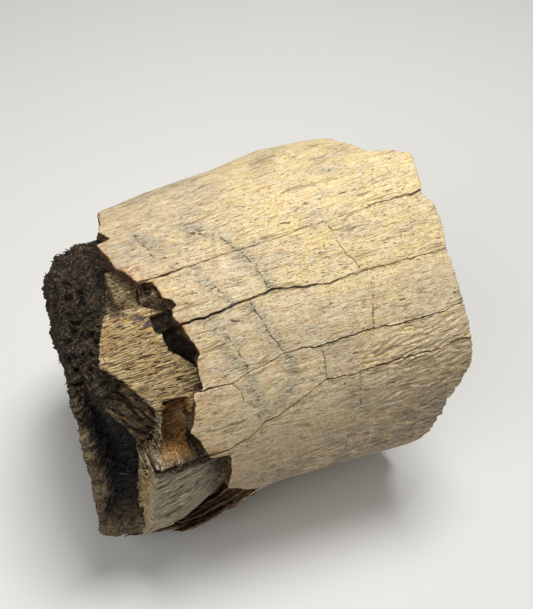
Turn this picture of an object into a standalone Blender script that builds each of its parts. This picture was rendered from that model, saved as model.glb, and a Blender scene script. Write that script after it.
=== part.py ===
"""A fossil dinosaur bone fragment, as one closed solid.

The fragment is a length of limb-bone shaft that lies along X. Its pale outer layer ends
in a ragged rim towards -X, where an inner layer and then dark, spongy bone show. The
surface is a loft of closed rings, with one point for each angle round the shaft. Rings
follow the outlines of the break, so the rim and the ledges stay sharp.

Lengths here are millimetres and angles are degrees; MM turns them into metres. An angle
of 0 faces -Y, 90 is the top, 180 faces +Y and -90 is the underside.
"""

import bmesh
import bpy
import numpy as np
from mathutils import Vector, noise

MM = 0.001

# The shaft's cross-section, an ellipse, and how fast it widens towards +X.
HALF_WIDTH = 31.9
HALF_HEIGHT = 33.9
AXIS_HEIGHT = 33.9
WIDENING = 0.00192
MEAN_RADIUS = 33.0
ARC_PER_DEGREE = 0.56

# The underside hardly widens, and is worn flat where it meets what it rests on.
UNDERSIDE_HALF_HEIGHT = 34.7
UNDERSIDE_STARTS = 0.45

# Two broad swellings, each with the angle of its crest, how far round it spreads, and its
# height at places along X: one low on the front near the broken end, one high on the back.
FRONT_SWELLING = (-38.0, 26.0, (
    (-37.5, 1.6), (-34.7, 3.4), (-31.0, 3.9), (-27.0, 4.2), (-21.0, 5.2),
    (-16.0, 4.3), (-11.0, 3.0), (-5.0, 1.1), (1.0, 0.0),
))
BACK_SWELLING = (130.0, 34.0, (
    (-22.0, -0.6), (-10.0, 0.3), (4.0, 0.5), (15.0, 1.3), (24.0, 0.5), (34.0, -1.4),
))

# Outlines round the shaft: (angle, place along X).
RAGGED_RIM = (
    (-180, -25.0), (-168, -22.5), (-158, -25.5), (-148, -26.5), (-138, -23.0), (-128, -24.5),
    (-119, -27.5), (-110, -25.5), (-101, -28.0), (-92, -25.5), (-84, -28.0), (-75, -26.0),
    (-66, -28.0), (-57, -26.0), (-48, -28.0), (-40, -27.0), (-37, -23.5), (-35, -20.0),
    (-33, -16.0), (-31, -12.0), (-29, -9.0), (-26, -6.2), (-22, -5.5), (-13, -10.0),
    (-10, -12.2), (0, -11.2), (8.5, -11.2), (9.5, -15.0), (12, -15.4), (18, -16.1),
    (22, -17.6), (25, -16.8), (31, -15.7), (35, -15.5), (36, -13.7), (45, -13.6),
    (47, -12.5), (51, -13.2), (54, -13.9), (57, -14.1), (61, -15.3), (63, -15.1),
    (64, -14.1), (66, -14.4), (68, -16.0), (71, -16.1), (74, -16.8), (75, -19.2),
    (80, -20.5), (83, -21.9), (90, -22.7), (96, -23.6), (97, -20.8), (104, -22.3),
    (111, -21.3), (120, -20.8), (130, -20.0), (142, -20.6), (152, -19.5), (165, -23.5),
)
FAR_RIM = (
    (-180, 30.5), (-165, 33.0), (-152, 32.0), (-140, 34.5), (-128, 31.5), (-115, 33.5),
    (-102, 31.0), (-90, 33.0), (-78, 30.5), (-66, 32.5), (-55, 29.5), (-45, 31.5),
    (-35, 29.5), (-25, 29.5), (-18, 30.0), (-8, 31.2), (5, 32.6), (11, 35.0), (19, 37.1),
    (25, 37.4), (30, 37.1), (43, 36.4), (56, 36.0), (65, 36.9), (71, 36.8), (76, 35.6),
    (79, 36.5), (85, 37.2), (92, 38.4), (98, 34.5), (100, 31.4), (106, 30.6), (115, 28.6),
    (125, 29.5), (136, 28.0), (146, 31.0), (156, 29.5), (168, 32.0),
)
DARK_EDGE = (
    (-180, -27.8), (-130, -28.5), (-90, -30.5), (-50, -30.5), (-38, -29.8), (-28, -29.5),
    (-15, -28.6), (-4, -27.5), (6, -26.8), (14, -26.4), (24, -28.2), (33, -30.6), (42, -31.0),
    (53, -29.6), (63, -28.0), (70, -26.5), (76, -25.0), (83, -24.5), (95, -24.2),
    (110, -23.2), (130, -23.0), (150, -25.0),
)
END_LIP = (
    (-180, -32.0), (-155, -33.5), (-130, -32.5), (-100, -33.5), (-80, -33.0), (-60, -34.0),
    (-42, -36.2), (-30, -37.2), (-15, -36.4), (0, -34.6), (20, -34.2), (45, -34.4),
    (60, -33.8), (80, -32.8), (95, -31.6), (110, -29.8), (130, -29.5), (150, -30.5),
)

# Depths below the outer surface, round the shaft: (angle, depth).
LIP_DEPTH = (
    (-180, 6.5), (-130, 6.0), (-90, 5.5), (-70, 4.5), (-50, 3.0), (-35, 1.2), (-25, 1.6),
    (-12, 3.5), (0, 6.0), (15, 8.0), (30, 9.0), (45, 9.0), (60, 8.2), (80, 7.6), (95, 8.0),
    (110, 9.0), (140, 9.0),
)
DARK_DEPTH = (
    (-180, 6.5), (-90, 5.5), (-50, 4.5), (-38, 1.8), (-30, 2.2), (-22, 4.5), (-15, 7.0), (-5, 9.0),
    (8, 9.5), (20, 9.0), (30, 8.0), (45, 6.0), (60, 5.5), (80, 6.0), (95, 6.6), (110, 8.2),
    (140, 8.2),
)
TROUGH_DEPTH = (
    (-180, 0.0), (-40, 0.0), (-30, 0.0), (-22, 2.0), (-10, 3.5), (10, 3.0), (30, 2.0),
    (50, 1.0), (70, 0.0),
)

# The inner layer, where the outer one has flaked off, and what breaks its surface. Each
# facet is an outline of (place along X, angle), with its depth at the outline's first
# point, the depth gained for each mm along X, and for each degree.
INNER_DEPTH = 4.2
LEDGE_WIDTH = 0.6
FACETS = (
    # the steep, dark gutter along the top of the rim
    (((-28, 66), (-13, 62), (-15, 80), (-14, 138), (-27, 138)), 5.0, 0.0, 0.05),
    (((-29, 137), (-14, 137), (-14, 176), (-29, 176)), 8.4, 0.0, -0.1),
    # three chips of the outer layer that stand proud in that gutter
    (((-24.0, 86), (-23.8, 71), (-20.0, 71), (-19.2, 77), (-20.5, 86)), 2.2, 0.12, -0.05),
    (((-19.2, 78), (-19.6, 70), (-17.2, 71), (-16.6, 76)), 3.2, 0.0, 0.0),
    (((-17.2, 74), (-17.6, 70), (-15.6, 68), (-15.2, 72)), 1.6, 0.0, 0.0),
    # the pocket behind the rim
    (((-17.4, 58), (-13.0, 60), (-10.0, 48), (-12.5, 41), (-15.0, 47), (-17.2, 51)), 6.6, 0.0, 0.0),
    # the streaked slope below the inner layer's ledge
    (
        ((-30.5, 55), (-28.5, 50), (-26.2, 44), (-23.2, 34), (-21.6, 25), (-23.4, 8), (-27.0, 4), (-32, 20)),
        6.2, 0.0, -0.04,
    ),
    # the recess
    (((-21.6, 27), (-19.6, 28), (-16.2, 27), (-16.4, 8), (-15.0, -4), (-23.6, -2)), 8.0, 0.0, 0.0),
    # the hollow behind the rim's long tooth
    (((-17.2, 14), (-14.0, 14), (-9.0, 7), (-9.0, 2), (-18.0, 1)), 6.0, 0.0, 0.0),
    # the squared block below it
    (((-25.4, 6), (-18.2, 4), (-8.0, 2), (-7.0, -30), (-22.0, -34), (-29.6, -37)), 0.6, 0.26, 0.0),
    # the gap between that block and the thin plate under it
    (
        ((-27.5, -37), (-20.0, -31), (-12.0, -25.5), (-7, -21), (-5, -34), (-20, -42), (-29, -46)),
        6.5, 0.0, 0.0,
    ),
)

# The ragged rim's own edge, and how far the break reaches in under it.
RIM_EDGE_DEPTH = 0.25
UNDERCUT = 0.8

# Both ends: (share of the way from the centre to the edge, height beyond the edge). The
# edge's own ups and downs die away towards the centre as this power of the share.
EDGE_FADE = 5
BROKEN_END = (
    (0.0, -0.8), (0.18, -0.6), (0.36, 0.0), (0.54, 0.7), (0.7, 1.2), (0.84, 1.2), (0.95, 0.7),
)
FAR_BREAK = (
    (0.985, 0.2), (0.93, -0.8), (0.84, -1.6), (0.76, -4.6), (0.6, -6.0), (0.42, -5.0),
    (0.22, -6.2), (0.0, -5.6),
)

# Lumps: (wavelength, height) in mm, and the place in the noise that they start from.
SPONGY_LUMPS = ((7.0, 1.1), (3.6, 0.5))
INNER_LUMPS = ((6.0, 0.25),)
OUTER_LUMPS = ((16.0, 0.22), (7.0, 0.08))
BREAK_LUMPS = ((9.0, 1.3), (4.5, 0.6))
LUMP_ORIGIN = Vector((31.0, 7.0, 19.0))

# How many rings cover each stretch, and the step in degrees between a ring's points. The
# step is finer over the part of the front where the rim is broken away.
DARK_ROWS = 5
INNER_ROWS = 11
OUTER_ROWS = 7
FINE_FROM = -42.0
FINE_TO = 116.0
FINE_STEP = 2.0
COARSE_STEP = 5.0

# Where the shaft's axis lies in the finished frame: its origin is under the box's centre.
AXIS_X = -0.6
AXIS_Y = 0.122


def clear_scene():
    """Removes whatever the scene holds."""
    for item in list(bpy.data.objects):
        bpy.data.objects.remove(item, do_unlink=True)


def smooth_step(value, low, high):
    """Rises smoothly from 0 at low to 1 at high."""
    share = np.clip((value - low) / (high - low), 0.0, 1.0)
    return share * share * (3.0 - 2.0 * share)


def read_outline(outline, angle):
    """The outline's value at each angle, straight between its points and closed round."""
    angles = [point[0] for point in outline]
    values = [point[1] for point in outline]
    return np.interp(angle, angles, values, period=360.0)


def swelling_at(along, angle):
    """How far the two swellings stand out of the plain ellipse."""
    total = 0.0
    for crest, spread, heights in (FRONT_SWELLING, BACK_SWELLING):
        height = np.interp(along, [point[0] for point in heights], [point[1] for point in heights])
        turn = (angle - crest + 180.0) % 360.0 - 180.0
        total = total + height * np.exp(-((turn / spread) ** 2))
    return total


def surface_point(along, angle, depth):
    """Points (x, y, z) at a depth below the shaft's outer surface."""
    along, angle, depth = np.broadcast_arrays(along, angle, depth)
    turn = np.radians(angle)
    under = smooth_step(-np.sin(turn), UNDERSIDE_STARTS, 1.0)
    scale = 1.0 + WIDENING * along * (1.0 - under)
    scale = scale + (swelling_at(along, angle) - depth) / MEAN_RADIUS
    half_height = HALF_HEIGHT + (UNDERSIDE_HALF_HEIGHT - HALF_HEIGHT) * under
    y = -HALF_WIDTH * np.cos(turn) * scale
    z = AXIS_HEIGHT + half_height * np.sin(turn) * scale
    return np.stack([along, y, z], axis=-1)


def edge_distance(along, angle, outline):
    """Signed distance in mm to a facet's outline, positive inside it."""
    x = along
    y = angle * ARC_PER_DEGREE
    corners = [(corner[0], corner[1] * ARC_PER_DEGREE) for corner in outline]
    nearest = np.full(np.shape(x), np.inf)
    inside = np.zeros(np.shape(x), bool)
    for start, end in zip(corners, corners[1:] + corners[:1]):
        run = end[0] - start[0]
        rise = end[1] - start[1]
        share = ((x - start[0]) * run + (y - start[1]) * rise) / (run * run + rise * rise)
        share = np.clip(share, 0.0, 1.0)
        gap = np.hypot(x - start[0] - share * run, y - start[1] - share * rise)
        nearest = np.minimum(nearest, gap)
        if rise != 0.0:
            crosses = (start[1] > y) != (end[1] > y)
            inside ^= crosses & (x < start[0] + (y - start[1]) * run / rise)
    return np.where(inside, nearest, -nearest)


def inner_depth(along, angle):
    """Depth of the inner layer, with its facets, below the outer surface."""
    depth = np.full(np.shape(along), INNER_DEPTH)
    for outline, start_depth, per_mm, per_degree in FACETS:
        facet = start_depth + per_mm * (along - outline[0][0]) + per_degree * (angle - outline[0][1])
        share = smooth_step(edge_distance(along, angle, outline), -LEDGE_WIDTH / 2, LEDGE_WIDTH / 2)
        depth = depth + (facet - depth) * share
    return depth


def add_lumps(points, lumps, direction):
    """Moves points along a direction by smooth noise of each wavelength."""
    flat = points.reshape(-1, 3)
    for wavelength, height in lumps:
        for index, point in enumerate(flat):
            value = noise.noise(Vector(point) / wavelength + LUMP_ORIGIN)
            flat[index] += direction.reshape(-1, 3)[index] * value * height
    return points


def outward(points):
    """Unit directions away from the shaft's axis, across it."""
    across = points - np.array([0.0, 0.0, AXIS_HEIGHT])
    across[..., 0] = 0.0
    return across / np.linalg.norm(across, axis=-1, keepdims=True)


def end_rings(edge, profile, sign, lumps):
    """Rings of a broken end, for each share of the way out that its profile holds."""
    centre = edge.mean(axis=0)
    rings = []
    for share, height in profile:
        ring = centre + (edge - centre) * share
        ring[:, 0] = centre[0] + (edge[:, 0] - centre[0]) * share**EDGE_FADE + sign * height
        fade = min(1.0, (1.0 - share) * 4.0 + 0.25)
        lengthwise = np.zeros_like(ring)
        lengthwise[:, 0] = sign * fade
        rings.append(add_lumps(ring, lumps, lengthwise))
    return rings


def ring_angles():
    """The angle of each point in a ring, once round from the start of the fine stretch."""
    fine = np.arange(FINE_FROM, FINE_TO, FINE_STEP)
    coarse = np.arange(FINE_TO, FINE_FROM + 360.0, COARSE_STEP)
    angle = np.concatenate([fine, coarse])
    return np.where(angle > 180.0, angle - 360.0, angle)


def shaft_rings(angle):
    """Rings along the shaft, from the broken end's lip to the far rim."""
    lip = read_outline(END_LIP, angle)
    dark_edge = read_outline(DARK_EDGE, angle)
    rim = read_outline(RAGGED_RIM, angle)
    far = read_outline(FAR_RIM, angle)
    rings = []
    for share in np.linspace(0.0, 1.0, DARK_ROWS):
        along = lip + (dark_edge - lip) * share
        depth = read_outline(LIP_DEPTH, angle) * (1.0 - share) + read_outline(DARK_DEPTH, angle) * share
        depth = depth + read_outline(TROUGH_DEPTH, angle) * 4.0 * share * (1.0 - share)
        ring = surface_point(along, angle, depth)
        rings.append(add_lumps(ring, SPONGY_LUMPS, outward(ring)))
    foot = rim + UNDERCUT
    for share in np.linspace(0.05, 1.0, INNER_ROWS):
        along = dark_edge + (foot - dark_edge) * share
        ring = surface_point(along, angle, inner_depth(along, angle))
        rings.append(add_lumps(ring, INNER_LUMPS, outward(ring)))
    for share in np.linspace(0.0, 1.0, OUTER_ROWS):
        along = rim + (far - rim) * share
        depth = RIM_EDGE_DEPTH if share == 0.0 else 0.0
        ring = surface_point(along, angle, depth)
        rings.append(add_lumps(ring, OUTER_LUMPS, outward(ring)))
    return rings


def all_rings():
    """Every ring from the broken end to the far break, as arrays of points."""
    angle = ring_angles()
    rings = shaft_rings(angle)
    broken = end_rings(rings[0], BROKEN_END, -1.0, SPONGY_LUMPS)
    far = end_rings(rings[-1], FAR_BREAK, 1.0, BREAK_LUMPS)
    return broken + rings + far


def flatten_underside(rings):
    """Lays everything that would reach below the surface it rests on flat on it."""
    for ring in rings:
        ring[:, 2] = np.maximum(ring[:, 2], 0.0)
    return rings


def make_mesh(name, rings):
    """A closed mesh through the rings; the first and the last shrink to one point."""
    shift = Vector((AXIS_X, AXIS_Y, 0.0))
    shape = bmesh.new()
    first = shape.verts.new((Vector(rings[0].mean(axis=0)) + shift) * MM)
    last = shape.verts.new((Vector(rings[-1].mean(axis=0)) + shift) * MM)
    rows = [[shape.verts.new((Vector(point) + shift) * MM) for point in ring] for ring in rings[1:-1]]
    count = len(rows[0])
    for index in range(count):
        following = (index + 1) % count
        shape.faces.new((first, rows[0][index], rows[0][following]))
        for near, beyond in zip(rows, rows[1:]):
            shape.faces.new((near[index], beyond[index], beyond[following], near[following]))
        shape.faces.new((rows[-1][index], last, rows[-1][following]))
    bmesh.ops.triangulate(shape, faces=shape.faces)
    mesh = bpy.data.meshes.new(name)
    shape.to_mesh(mesh)
    shape.free()
    return mesh


def bone_material():
    """Pale, dull fossil bone."""
    material = bpy.data.materials.new("fossil_bone")
    material.use_nodes = True
    shader = material.node_tree.nodes["Principled BSDF"]
    shader.inputs["Base Color"].default_value = (0.55, 0.43, 0.28, 1.0)
    shader.inputs["Roughness"].default_value = 0.72
    shader.inputs["Metallic"].default_value = 0.0
    return material


def build_bone():
    """The whole fragment, which formed as one piece."""
    rings = flatten_underside(all_rings())
    mesh = make_mesh("bone_fragment", rings)
    mesh.shade_smooth()
    mesh.set_sharp_from_angle(angle=np.radians(35.0))
    mesh.materials.append(bone_material())
    bone = bpy.data.objects.new("bone_fragment", mesh)
    bpy.context.scene.collection.objects.link(bone)
    return bone


clear_scene()
build_bone()
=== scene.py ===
"""The looks of a fossil dinosaur bone fragment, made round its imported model.

The fragment is a length of limb-bone shaft that lies along X. Four plates of its weathered
outer layer are parted by long cracks, and towards -X they end in a ragged rim. From under
the rim comes the bared inner layer, and from under that the dark, spongy bone of the broken
end. Loose fibres, threads and crumbs lie in the break.

Lengths are millimetres and angles are degrees until a mesh is made. Places on the shaft are
given as (along X, angle round it, depth below the outer surface). An angle of 0 faces -Y,
90 is the top, 180 faces +Y and -90 is the underside.
"""

import itertools
import logging
from dataclasses import dataclass
from enum import Enum
from functools import partial

import bpy
import numpy as np
from bpy.types import Material, Mesh, Node, NodeSocket, NodeTree, Object
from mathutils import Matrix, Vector, noise


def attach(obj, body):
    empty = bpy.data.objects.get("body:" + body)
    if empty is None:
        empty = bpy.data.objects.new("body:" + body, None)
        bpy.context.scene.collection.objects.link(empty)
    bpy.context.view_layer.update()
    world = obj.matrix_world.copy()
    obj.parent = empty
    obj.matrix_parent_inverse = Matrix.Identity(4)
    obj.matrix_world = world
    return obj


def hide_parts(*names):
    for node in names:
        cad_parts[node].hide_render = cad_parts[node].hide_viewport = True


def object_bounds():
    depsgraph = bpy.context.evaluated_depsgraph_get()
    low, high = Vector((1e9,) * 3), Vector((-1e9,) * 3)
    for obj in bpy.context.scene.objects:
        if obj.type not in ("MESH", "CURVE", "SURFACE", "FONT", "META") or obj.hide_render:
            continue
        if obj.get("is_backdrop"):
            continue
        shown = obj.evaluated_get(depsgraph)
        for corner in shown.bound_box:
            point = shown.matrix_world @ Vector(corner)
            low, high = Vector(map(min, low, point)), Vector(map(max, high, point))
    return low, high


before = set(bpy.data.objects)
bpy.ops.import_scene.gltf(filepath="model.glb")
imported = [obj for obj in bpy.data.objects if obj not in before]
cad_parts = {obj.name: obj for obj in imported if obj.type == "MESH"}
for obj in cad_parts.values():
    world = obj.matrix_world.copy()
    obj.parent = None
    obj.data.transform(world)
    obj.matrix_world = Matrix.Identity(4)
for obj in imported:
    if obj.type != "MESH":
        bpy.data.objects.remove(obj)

Array = np.ndarray
Path = tuple[tuple[float, float], ...]
Point = tuple[float, float, float]

MM = 0.001
# How far a UV map keeps from its edges, how many entries noise draws from, and the power by
# which a ring's unevenness fades over the face that closes it.
MAP_MARGIN = 0.005
NOISE_TABLE = 256
EDGE_FADE = 5
NODE = "bone_fragment"
BODY = "root"
LOG = logging.getLogger("bone")

# Outlines round the shaft: (angle, place along X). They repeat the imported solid's.
RAGGED_RIM: Path = (
    (-180, -21.5), (-168, -21.0), (-158, -24.5), (-148, -26.5), (-138, -23.0), (-128, -24.5),
    (-119, -27.5), (-110, -25.5), (-101, -28.0), (-92, -25.5), (-84, -28.0), (-75, -26.0),
    (-66, -28.0), (-58, -26.0), (-55, -21.5), (-52, -23.5), (-50, -17.0), (-47.5, -19.5),
    (-45, -13.0), (-42.5, -16.0), (-40, -11.0), (-37.5, -12.5), (-35, -9.0), (-33, -10.5),
    (-31, -7.5), (-29, -8.0), (-26, -6.2), (-22, -5.5), (-13, -10.0),
    (-10, -12.2), (0, -11.2), (8.5, -11.2), (9.5, -15.0), (12, -15.4), (18, -16.1),
    (22, -17.6), (25, -16.8), (31, -15.7), (35, -15.5), (36, -13.7), (45, -13.6),
    (47, -12.5), (51, -13.2), (54, -13.9), (57, -14.1), (61, -15.3), (63, -15.1),
    (64, -14.1), (66, -14.4), (68, -16.0), (71, -16.1), (74, -16.8), (75, -19.2),
    (80, -20.5), (83, -21.9), (90, -22.7), (96, -23.6), (97, -20.8), (104, -22.3),
    (111, -21.3), (120, -20.8), (130, -20.0), (142, -20.0), (152, -18.8), (165, -20.2),
)
FAR_RIM: Path = (
    (-180, 30.5), (-165, 33.0), (-152, 32.0), (-140, 34.5), (-128, 31.5), (-115, 33.5),
    (-102, 31.0), (-90, 33.0), (-78, 30.5), (-66, 32.5), (-55, 29.5), (-45, 31.5),
    (-35, 29.5), (-25, 29.5), (-18, 30.0), (-8, 31.2), (5, 32.6), (11, 35.0), (19, 37.1),
    (25, 37.4), (30, 37.1), (43, 36.4), (56, 36.0), (65, 36.9), (71, 36.8), (76, 35.6),
    (79, 36.5), (85, 37.2), (92, 38.4), (98, 34.5), (100, 31.4), (106, 30.6), (115, 28.6),
    (125, 29.5), (136, 28.0), (146, 31.0), (156, 29.5), (168, 32.0),
)
DARK_EDGE: Path = (
    (-180, -24.8), (-150, -27.5), (-130, -28.5), (-90, -30.5), (-50, -30.5), (-38, -29.8), (-28, -29.5),
    (-15, -28.6), (-4, -27.5), (6, -26.8), (14, -26.4), (24, -28.2), (33, -30.6), (42, -31.0),
    (53, -29.6), (63, -28.0), (70, -26.5), (76, -25.0), (83, -24.5), (95, -24.2),
    (110, -22.8), (130, -21.5), (150, -22.0),
)
END_LIP: Path = (
    (-180, -32.0), (-155, -33.5), (-130, -32.5), (-100, -33.5), (-80, -33.0), (-60, -34.0),
    (-42, -36.2), (-30, -37.2), (-15, -36.6), (0, -35.5), (20, -36.0), (38, -35.6), (50, -34.6),
    (60, -33.6), (80, -32.5), (95, -32.0), (110, -30.9), (130, -29.8), (150, -30.0),
)
# Where the inner layer comes out from under the plates: a smooth line behind the rim.
INNER_START: Path = (
    (-180, -18), (-60, -20), (-46, -18), (-36, -10), (-30, -3), (-20, -1), (0, -5), (30, -9),
    (60, -8), (80, -12), (110, -14), (150, -14),
)

# Depths below the outer surface, round the shaft: (angle, depth).
LIP_DEPTH: Path = (
    (-180, 6.5), (-130, 6.0), (-90, 5.5), (-70, 4.5), (-50, 3.6), (-35, 2.0), (-25, 2.4),
    (-12, 3.5), (0, 6.0), (15, 8.0), (30, 9.0), (45, 9.0), (60, 8.2), (80, 7.0), (95, 5.8),
    (110, 5.6), (140, 6.2),
)
DARK_DEPTH: Path = (
    (-180, 6.5), (-90, 5.5), (-50, 4.5), (-38, 1.8), (-30, 2.2), (-22, 4.5), (-15, 7.0),
    (-5, 9.0), (8, 9.5), (20, 9.0), (30, 8.0), (45, 6.0), (60, 5.5), (80, 5.8), (95, 5.6),
    (110, 5.2), (140, 5.8),
)
TROUGH_DEPTH: Path = (
    (-180, 0.0), (-40, 0.0), (-30, 0.0), (-22, 2.0), (-10, 3.5), (10, 3.0), (30, 2.0),
    (50, 1.0), (70, 0.0),
)


class Zone(Enum):
    """What kind of broken bone a facet of the inner layer bares."""

    GUTTER = "gutter"
    CHIP = "chip"
    POCKET = "pocket"
    SLOPE = "slope"
    RECESS = "recess"
    BLOCK = "block"


@dataclass(frozen=True)
class Facet:
    """A broken face in the inner layer.

    Its outline is made of (along, angle) points, and start is its depth at the first one.
    """

    zone: Zone
    outline: Path
    start: float
    per_mm: float = 0.0
    per_degree: float = 0.0


# How deep the inner layer lies outside its facets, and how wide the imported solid's ledges are.
INNER_DEPTH = 4.2
SOLID_LEDGE = 0.6
FACETS = (
    Facet(
        Zone.GUTTER, ((-28, 71.5), (-20, 71), (-17.5, 68), (-13, 62), (-15, 80), (-14, 138), (-27, 138)),
        5.0, 0.0, 0.05,
    ),
    Facet(Zone.GUTTER, ((-29, 137), (-14, 137), (-14, 176), (-29, 176)), 8.4, 0.0, -0.1),
    Facet(Zone.CHIP, ((-24.0, 86), (-23.8, 71), (-20.0, 71), (-19.2, 77), (-20.5, 86)), 2.2, 0.12, -0.05),
    Facet(Zone.CHIP, ((-19.2, 78), (-19.6, 70), (-17.2, 71), (-16.6, 76)), 3.2),
    Facet(Zone.CHIP, ((-17.2, 74), (-17.6, 70), (-15.6, 68), (-15.2, 72)), 1.6),
    Facet(Zone.POCKET, ((-18.8, 65), (-18.4, 58.5), (-15.8, 56), (-13.0, 59), (-13.5, 66.5)), 5.4),
    Facet(
        Zone.POCKET,
        ((-17.4, 58), (-13.0, 60), (-10.0, 48), (-12.5, 41), (-15.0, 47), (-17.2, 51)),
        6.6,
    ),
    Facet(
        Zone.SLOPE,
        ((-30.5, 55), (-28.5, 50), (-26.2, 44), (-23.2, 34), (-21.6, 27), (-23.4, 9), (-27.0, 6), (-32, 20)),
        6.2, 0.0, -0.04,
    ),
    Facet(
        Zone.RECESS,
        ((-21.0, 29.5), (-19.6, 30.6), (-16.3, 30.2), (-16.4, 8), (-15.0, 0), (-23.6, 2)),
        8.0,
    ),
    Facet(Zone.POCKET, ((-17.2, 14), (-14.0, 14), (-9.0, 7), (-9.0, 2), (-18.0, 1)), 7.4),
    Facet(
        Zone.BLOCK,
        ((-25.0, 10), (-21.0, 8.4), (-17.8, 6.2), (-12.8, 4.2), (-8, 2), (-7, -30), (-22, -34), (-29.6, -37)),
        0.6, 0.26, -0.022,
    ),
    Facet(
        Zone.POCKET,
        ((-27.5, -37), (-20.0, -31), (-12.0, -25.5), (-7, -21), (-5, -34), (-20, -42), (-29, -46)),
        6.5,
    ),
)


def rise(value: Array, low: float, high: float) -> Array:
    """Turns numbers into shares that rise smoothly from 0 at low to 1 at high."""
    share = np.clip((value - low) / (high - low), 0.0, 1.0)
    return share * share * (3.0 - 2.0 * share)


def within(gap: Array, reach: Array | float, soft: float) -> Array:
    """Gives 0 where a gap is as wide as its reach, rising smoothly to 1 where it is narrower."""
    return rise(reach - gap, 0.0, soft)


def read(outline: Path, angle: Array) -> Array:
    """Reads an outline of (angle, value) points, straight between them and closed round."""
    return np.interp(angle, *zip(*outline), period=360.0)


def follow(path: Path, place: Array) -> Array:
    """Reads a path of (place, value) points, straight between them and level past its ends."""
    return np.interp(place, *zip(*path))


def spots(*parts: Array | float) -> Array:
    """Joins coordinates into points; one that is the same all over may be a plain number."""
    return np.stack(np.broadcast_arrays(*parts), axis=-1)


def in_rows(row: Array, rows: int) -> Array:
    """Repeats one row of numbers, as a grid with this many rows."""
    return np.repeat(row[None, :], rows, axis=0)


class Noise:
    """Smooth, seeded noise on arrays of points, and the cell pattern that goes with it."""

    def __init__(self, seed: int) -> None:
        """Draws the table and the slopes that this noise reads.

        Args:
            seed: the number that fixes them.
        """
        draw = np.random.default_rng(seed)
        self.table = draw.permutation(NOISE_TABLE)
        slopes = draw.normal(size=(NOISE_TABLE, 3))
        self.slopes = slopes / np.linalg.norm(slopes, axis=1, keepdims=True)
        self.centres = draw.random((NOISE_TABLE, 3))

    def _pick(self, cells: Array) -> Array:
        """Turns whole-number cells into places in the tables.

        Args:
            cells: three whole numbers for each cell.

        Returns:
            A place in the tables for each.
        """
        last = NOISE_TABLE - 1
        part = self.table[cells[..., 0] & last]
        part = self.table[(part + cells[..., 1]) & last]
        return self.table[(part + cells[..., 2]) & last]

    def smooth(self, points: Array) -> Array:
        """Gives one octave of noise.

        Args:
            points: places in units of the wavelength, with three numbers each.

        Returns:
            Values from about -1 to 1.
        """
        base = np.floor(points).astype(np.int64)
        part = points - base
        fade = part**3 * (part * (part * 6.0 - 15.0) + 10.0)
        total = np.zeros(points.shape[:-1])
        for corner in itertools.product((0, 1), repeat=3):
            step = np.array(corner)
            slope = self.slopes[self._pick(base + step)]
            weight = np.prod(np.where(step == 1, fade, 1.0 - fade), axis=-1)
            total += weight * np.sum(slope * (part - step), axis=-1)
        return total * 1.7

    def layered(self, points: Array, octaves: int, gain: float = 0.5) -> Array:
        """Adds up octaves of noise, each half as wide as the one before it.

        Args:
            points: places in units of the widest wavelength.
            octaves: how many are added.
            gain: each octave's height as a share of the one before it.

        Returns:
            Values from about -1 to 1.
        """
        total = np.zeros(points.shape[:-1])
        height = 1.0
        whole = 0.0
        for octave in range(octaves):
            total += height * self.smooth(points * 2.0**octave + 17.3 * octave)
            whole += height
            height *= gain
        return total / whole

    def cells(self, points: Array) -> tuple[Array, Array]:
        """Measures how far each point is from the two nearest of scattered spots.

        Args:
            points: places in units of the spots' mean distance.

        Returns:
            The distances to the nearest and to the second nearest spot.
        """
        base = np.floor(points).astype(np.int64)
        first = np.full(points.shape[:-1], 9.0)
        second = first.copy()
        for corner in itertools.product((-1, 0, 1), repeat=3):
            cell = base + np.array(corner)
            spot = cell + self.centres[self._pick(cell)]
            gap = np.linalg.norm(points - spot, axis=-1)
            second = np.minimum(second, np.maximum(first, gap))
            first = np.minimum(first, gap)
        return first, second


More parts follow.
